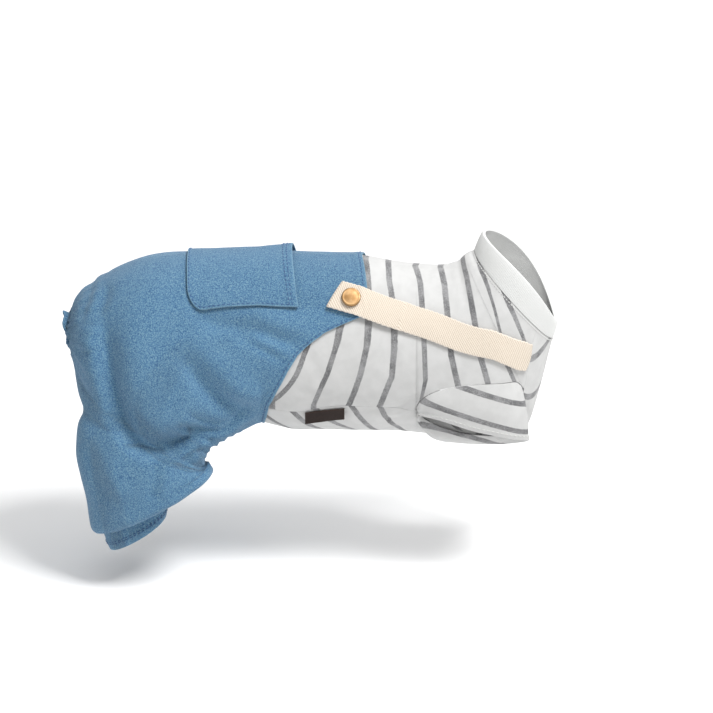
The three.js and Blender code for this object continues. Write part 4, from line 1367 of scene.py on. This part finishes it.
def strap(side, name, node):
    fine = np.linspace(0, len(STRAP_LINE) - 1, LINE_STEPS)
    line = [curve_at(STRAP_LINE, c, fine) for c in range(4)]
    run = measured(skin(line[0], line[1])[None], 1)[0]
    travel, tilt = strap_rows(run[-1])
    share, full = steps(12, STRAP_WIDTH, WEBBING)
    sideways = strap_sideways(share, travel)

    at_neck = smooth(travel, run[-1] - STRAP_WIDTH, run[-1])
    slant = STRAP_SKEW * np.maximum(0, 1 - travel / STRAP_FOLD) + STRAP_NECK_SKEW * at_neck
    place = travel + slant * (2 * share[None, :] - 1)
    row, angle, on_bib, ease = (np.interp(place, run, value) for value in line)
    beyond = place - np.clip(place, 0, run[-1])
    on_line = np.clip(place, MM, run[-1] - MM)
    ahead, behind = (skin(*(np.interp(on_line + step, run, v) for v in line[:2])) for step in (MM, -MM))
    forward = ahead - behind
    forward /= np.linalg.norm(forward, axis=-1, keepdims=True)
    across = np.cross(skin_up(row, angle), forward)
    row, angle = slide(row, angle, across * sideways[..., None] + forward * beyond[..., None])

    base, up = skin(row, angle), skin_up(row, angle)
    below = np.maximum(bib_rise(base, np.abs(angle)) * on_bib, jersey_relief(base) * (1 - on_bib))
    settle = smooth(travel, STRAP_FOLD, STRAP_FOLD + FOLD_SETTLE) * (tilt > 1.5)
    crease = LAYER * (2 + np.sin(tilt)) * (1 - settle) + LAYER * settle
    lift = GAP + on_bib * DENIM_LIFT + ease * WEBBING + below + crease
    middle = base + up * lift[..., None]
    out = up * np.sin(tilt)[..., None] - forward * np.cos(tilt)[..., None]
    half = (LAYER * LAYER_SHARE * full[None, :])[..., None]
    outer, inner = (middle + out * half) * [1, side, 1], (middle - out * half) * [1, side, 1]
    rim = np.minimum(share, 1 - share)[None, :] * STRAP_WIDTH
    mesh = sheet_mesh(name, outer, inner, marks={"rim": rim}, run=travel + 0 * sideways)
    piece = finish_piece(name, mesh, WEBBING_CLOTH, node)


strap(1, "strap_right_webbing", "strap_right")
strap(-1, "strap_left_webbing", "strap_left")

# %% [markdown]
# Each snap is a pressed brass cap on a stem that goes through the strap and the bib, with a ring inside.
# The cap starts as a plain drum. Its top face is inset and moved again and again to make the rim, the
# groove and the low dome, and then all its edges are rounded. It could be spun from a profile, but steps
# of insets are easier to adjust one by one.

# %% Snaps
SNAP_ROW, SNAP_ANGLE = 8.27, 46
CAP_RADIUS = 6.7 * MM
CAP_HEIGHT = 3.2 * MM
CAP_DRUM = 0.62  # height of the plain drum, as a share of the cap's height
CAP_BEVEL = 0.25 * MM
CAP_SIDES = 72
STEM_RADIUS = 1.9 * MM
RING_RADIUS = 5 * MM
RING_WALL = 1.2 * MM
SNAP_CLEARANCE = 0.3 * MM
STEM_BITE = 0.1 * MM  # how far the stem reaches into the cap and into the ring
CAP_STEPS = [
    # inset, rise, as shares of the cap's radius and height
    (0.05, 0.1),
    (0.07, 0.06),
    (0.05, -0.015),
    (0.18, 0.03),
    (0.25, 0.03),
    (0.25, 0.01),
]


def drum(name, radius, low, high):
    bpy.ops.object.select_all(action="DESELECT")
    bpy.ops.mesh.primitive_cylinder_add(vertices=CAP_SIDES, radius=radius, depth=high - low)
    made = bpy.context.object
    made.name = name
    made.data.transform(Matrix.Translation((0, 0, (high + low) / 2)))
    return made


def cap(foot):
    made = drum("cap", CAP_RADIUS, foot, foot + CAP_DRUM * CAP_HEIGHT)
    bpy.ops.object.mode_set(mode="EDIT")
    bpy.ops.mesh.select_mode(type="FACE")
    bpy.ops.mesh.select_all(action="DESELECT")
    bpy.ops.object.mode_set(mode="OBJECT")
    for face in made.data.polygons:
        face.select = face.normal.z > 0.9
    bpy.ops.object.mode_set(mode="EDIT")
    for inset, rise in CAP_STEPS:
        bpy.ops.mesh.inset(thickness=inset * CAP_RADIUS)
        bpy.ops.transform.translate(value=(0, 0, rise * CAP_HEIGHT))
    bpy.ops.object.mode_set(mode="OBJECT")
    round_edges = made.modifiers.new("round_edges", "BEVEL")
    round_edges.width = CAP_BEVEL
    round_edges.segments = 3
    round_edges.limit_method = "ANGLE"
    round_edges.angle_limit = math.radians(20)
    bpy.ops.object.modifier_apply(modifier="round_edges")
    return made


def snap(side, name, node):
    foot = skin(SNAP_ROW, SNAP_ANGLE)
    up = skin_up(np.float64(SNAP_ROW), np.float64(SNAP_ANGLE))
    rise = float(bib_rise(foot[None], np.array([SNAP_ANGLE]))[0])
    cap_foot = DENIM + GAP + 2 * WEBBING + SNAP_CLEARANCE + rise
    ring_top = -2 * SNAP_CLEARANCE + min(0, rise)
    parts = [
        cap(cap_foot),
        drum("stem", STEM_RADIUS, ring_top, cap_foot + STEM_BITE),
        drum("ring", RING_RADIUS, ring_top - RING_WALL, ring_top + STEM_BITE),
    ]
    bpy.ops.object.select_all(action="DESELECT")
    for part in parts:
        part.select_set(True)
    bpy.context.view_layer.objects.active = parts[0]
    bpy.ops.object.join()
    made = parts[0]
    made.name = name
    made.data.materials.clear()
    made.data.materials.append(BRASS)
    bpy.ops.object.shade_smooth_by_angle(angle=math.radians(50))
    flip = np.array([1, side, 1])
    turn = Vector((0, 0, 1)).rotation_difference(Vector(up * flip))
    made.data.transform(Matrix.Translation((foot + up * GAP) * flip) @ turn.to_matrix().to_4x4())
    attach(made, "root")
    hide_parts(node)
    print(name, len(made.data.polygons), "faces")


snap(1, "snap_right_brass", "snap_right")
snap(-1, "snap_left_brass", "snap_left")

# %% [markdown]
# A small dark tag is caught in the side seam by its upper edge and hangs free below it. It is left bare.
# A flat plate would do from afar, but as a small sheet its free edge can curl.

# %% Tag
TAG_REAR = -67.5 * MM
TAG_LENGTH = 28 * MM
TAG_HEIGHT = 9 * MM
TAG_TUCK = 1.8 * MM  # how far the lower edge lies in under the belly
TAG_CURL = 0.5 * MM
TAG_LIFT = 0.3 * MM
TAG_ANGLES = (126.5, 121.5)  # where its rear and its front end hang
TAG_COLUMNS, TAG_ROWS = 80, 30


def tag():
    across, full_across = steps(TAG_COLUMNS, TAG_LENGTH, LABEL)
    lengthwise, full_lengthwise = steps(TAG_ROWS, TAG_HEIGHT, LABEL)
    u, v = across[None, :] + 0 * lengthwise[:, None], lengthwise[:, None] + 0 * across[None, :]
    angle = TAG_ANGLES[0] + (TAG_ANGLES[1] - TAG_ANGLES[0]) * u
    row = row_at(TAG_REAR + u * TAG_LENGTH)
    curl = TAG_CURL * np.sin(u * 5 + 0.6) * v**2
    base = skin(row, angle) + np.stack([0 * v, TAG_TUCK * v - curl, -TAG_HEIGHT * v], -1)
    cloth(
        "label_tag", base, LABEL, TAG_CLOTH, "label_cloth", "label", None,
        low=GAP, normal=skin_up(row, angle), relief=jersey_relief(base) * (1 - v) + TAG_LIFT,
        fall=full_across[None, :] * full_lengthwise[:, None], marks={"rim": rim_of(base)},
    )


tag()

# %% [markdown]
# The stitches are real thread. A line of stitches follows a path on a piece's outer face: each stitch is
# a short six-sided rod that dips into the cloth at both ends. All stitches of one line are one mesh. A
# line drawn in the finish would be lighter, but from close by it would look printed.

# %% One line of stitches
STITCH_RINGS = np.array([
    # place along the stitch, rise and radius as shares of the thread's radius
    [0, -0.8, 0.35],
    [0.16, 0.4, 1],
    [0.5, 0.7, 1],
    [0.84, 0.4, 1],
    [1, -0.8, 0.35],
])
THREAD_SIDES = 6
THREAD = 0.32 * MM  # the thread's radius
STITCH = 2.5 * MM
STITCH_PAUSE = 0.9 * MM
FIRST_STITCH = 0.2  # where the first stitch starts, as a share of a stitch and its pause
LOOK_AROUND = 0.3 * MM  # how far either way a path is looked at to find its direction


def on_grid(grid, row, column):
    """Points of a grid between its rows and columns."""
    r = np.clip(np.floor(row).astype(int), 0, grid.shape[0] - 2)
    c = np.clip(np.floor(column).astype(int), 0, grid.shape[1] - 2)
    f, g = (row - r)[..., None], (column - c)[..., None]
    low = grid[r, c] * (1 - g) + grid[r, c + 1] * g
    return low * (1 - f) + (grid[r + 1, c] * (1 - g) + grid[r + 1, c + 1] * g) * f


def row_line(outer, normal, distance, from_end=False):
    """The path that keeps this distance from a grid's first or last row."""
    if from_end:
        outer, normal = outer[::-1], normal[::-1]
    run = measured(outer, 0)
    columns = range(outer.shape[1])
    row = np.array([np.interp(distance, run[:, j], np.arange(len(outer))) for j in columns])
    column = np.arange(outer.shape[1])
    return on_grid(outer, row, column), on_grid(normal, row, column)


def stitch_faces(count):
    """Faces of the rods of so many stitches, as rows of four point numbers, for all and for one."""
    rings = len(STITCH_RINGS)
    near = np.arange(THREAD_SIDES)
    far = np.roll(near, -1)
    faces = [
        np.stack([k * THREAD_SIDES + near, k * THREAD_SIDES + far,
                  (k + 1) * THREAD_SIDES + far, (k + 1) * THREAD_SIDES + near], -1)
        for k in range(rings - 1)
    ]
    first_cap = np.array([[0, 3, 2, 1], [0, 5, 4, 3]])
    faces += [first_cap, first_cap[:, ::-1] + (rings - 1) * THREAD_SIDES]
    one = np.concatenate(faces)
    return (one[None] + (np.arange(count) * rings * THREAD_SIDES)[:, None, None]).reshape(-1, 4), one


def stitch_line(name, line, material, length=STITCH):
    path, up_path = line
    run = measured(path[None], 1)[0]
    count = int(run[-1] / (length + STITCH_PAUSE))
    start = (np.arange(count)[:, None] + FIRST_STITCH) * run[-1] / count
    at = start + STITCH_RINGS[:, 0] * length

    def along_path(values, places):
        return np.stack([np.interp(places, run, values[:, c]) for c in range(3)], -1)

    up = along_path(up_path, at)
    up /= np.linalg.norm(up, axis=-1, keepdims=True)
    forward = along_path(path, at + LOOK_AROUND) - along_path(path, at - LOOK_AROUND)
    aside = np.cross(up, forward)
    aside /= np.linalg.norm(aside, axis=-1, keepdims=True) + 1e-12
    centre = along_path(path, at) + up * (STITCH_RINGS[:, 1] * THREAD)[:, None]
    turn = np.arange(THREAD_SIDES) * 2 * np.pi / THREAD_SIDES
    radius = (STITCH_RINGS[:, 2] * THREAD)[:, None, None]
    spoke = up[..., None, :] * np.sin(turn)[:, None] + aside[..., None, :] * np.cos(turn)[:, None]
    points = (centre[..., None, :] + spoke * radius).reshape(-1, 3)

    faces, one = stitch_faces(count)
    a, b, c, d = (points[one[:, k]] for k in range(4))
    if (np.cross(c - a, d - b) * (a + b + c + d - 4 * centre[0].mean(0))).sum() < 0:
        faces = faces[:, ::-1]
    mesh = bpy.data.meshes.new(name)
    mesh.from_pydata(points.tolist(), [], faces.tolist())
    mesh.shade_smooth()
    finish_piece(name, mesh, material)


print("points of one stitch:", len(STITCH_RINGS) * THREAD_SIDES)

# %% Stitches of the trousers and the shirt
COLLAR_STITCH = 1.6 * MM  # its length and its distance from the seam
for side, (outer, normal) in (("right", trouser_right), ("left", trouser_left)):
    stitch_line(f"bib_stitches_{side}", row_line(outer, normal, BIB_STITCH + MM / 2), BLUE_THREAD)
    for k, place in enumerate(CUFF_STITCHES):
        path = row_line(outer, normal, place, True)
        stitch_line(f"cuff_stitches_{side}_{k + 1}", path, BLUE_THREAD)
for side, (outer, normal) in (("right", sleeve_right), ("left", sleeve_left)):
    path = row_line(outer, normal, SLEEVE_HEM_STITCH, True)
    stitch_line(f"sleeve_stitches_{side}", path, WHITE_THREAD)
for panel, outer, normal in (("back", back_outer, back_normal), ("belly", belly_outer, belly_normal)):
    path = row_line(outer, normal, COLLAR_STITCH)
    stitch_line(f"collar_stitches_{panel}", path, WHITE_THREAD, COLLAR_STITCH)

# %% Stitches of the pocket


def pocket_line(x, girth):
    """A path on the pocket's outer face, from places along the bib and round it."""
    share = (pocket_mouth(girth) - x) / (pocket_mouth(girth) - pocket_rear(girth))
    rows, columns = pocket_outer.shape[:2]
    row = np.interp(share, POCKET_LENGTHWISE, np.arange(rows))
    column = np.interp((girth / POCKET_HALF + 1) / 2, POCKET_ACROSS, np.arange(columns))
    return on_grid(pocket_outer, row, column), on_grid(pocket_normal, row, column)


def pocket_sewn_line():
    half, rear = POCKET_HALF - POCKET_STITCH, POCKET_REAR + POCKET_STITCH
    corner = POCKET_CORNER - POCKET_STITCH
    side_x = np.linspace(POCKET_MOUTH - MM, rear + corner, 60)
    arc = np.linspace(0, np.pi / 2, 20)[1:]
    x = np.concatenate([side_x, rear + corner * (1 - np.sin(arc))])
    girth = np.concatenate([half + 0 * side_x, half - corner * (1 - np.cos(arc))])
    middle = np.linspace(half - corner, corner - half, 80)[1:-1]
    x = np.concatenate([x, rear + 0 * middle, x[::-1]])
    girth = np.concatenate([girth, middle, -girth[::-1]])
    return pocket_line(x, girth)


def pocket_mouth_line(distance):
    girth = np.linspace(-1, 1, 120) * (POCKET_HALF - MM)
    return pocket_line(pocket_mouth(girth) - distance, girth)


stitch_line("pocket_stitches", pocket_sewn_line(), BLUE_THREAD)
for k, place in enumerate(MOUTH_STITCHES):
    stitch_line(f"pocket_mouth_stitches_{k + 1}", pocket_mouth_line(place), BLUE_THREAD)

# %% [markdown]
# The camera faces the side of the garment and looks down on it a little. It could stand close by with a
# wide lens, but from farther away near and far parts keep their sizes, as in a shop's photograph.

# %% Camera
LENS = 154.3
TARGET = Vector((-0.0313, 0, -0.0687))
DISTANCE = 2.2
ELEVATION = math.radians(20)
camera = bpy.data.objects.new("camera", bpy.data.cameras.new("camera"))
bpy.context.scene.collection.objects.link(camera)
camera.data.lens = LENS
back = Vector((0, -math.cos(ELEVATION), math.sin(ELEVATION)))
camera.location = TARGET + back * DISTANCE
camera.rotation_euler = back.to_track_quat("Z", "Y").to_euler()
bpy.context.scene.camera = camera
print("camera at", [round(c, 3) for c in camera.location])

# %% [markdown]
# A pale paper floor fills the picture. A curved backdrop would do too, but seen a little from above a
# flat floor is enough. The sky lights everything softly, a small lamp high up at the neck's side models
# the folds, and a large one behind keeps the floor white.

# %% Floor and light
FLOOR = -0.228
SKY = 0.6
bpy.ops.mesh.primitive_plane_add(size=12, location=(0, 0, FLOOR))
floor = bpy.context.object
floor.name = "floor"
paper = Finish("paper", 0.9)
paper.out("Base Color", (0.95, 0.95, 0.95, 1))
floor.data.materials.append(paper.material)

world = bpy.data.worlds.new("studio")
bpy.context.scene.world = world
world.use_nodes = True
world.node_tree.nodes["Background"].inputs["Color"].default_value = (1, 1, 1, 1)
world.node_tree.nodes["Background"].inputs["Strength"].default_value = SKY
bpy.context.scene.view_settings.view_transform = "Standard"


def lamp(name, place, size, power, aim=(0, 0, 0)):
    """A square lamp at a place measured from the middle of the garment, turned to another one."""
    light = bpy.data.objects.new(name, bpy.data.lights.new(name, "AREA"))
    bpy.context.scene.collection.objects.link(light)
    light.data.size = size
    light.data.energy = power
    light.location = TARGET + Vector(place)
    light.rotation_euler = (Vector(place) - Vector(aim)).to_track_quat("Z", "Y").to_euler()


lamp("key", (0.5, -0.5, 1.25), 0.5, 24)
lamp("floor_lamp", (0, 3.2, 1.8), 2.5, 70, aim=(0, 3.4, 0))
print("lamps:", len(bpy.data.lights))
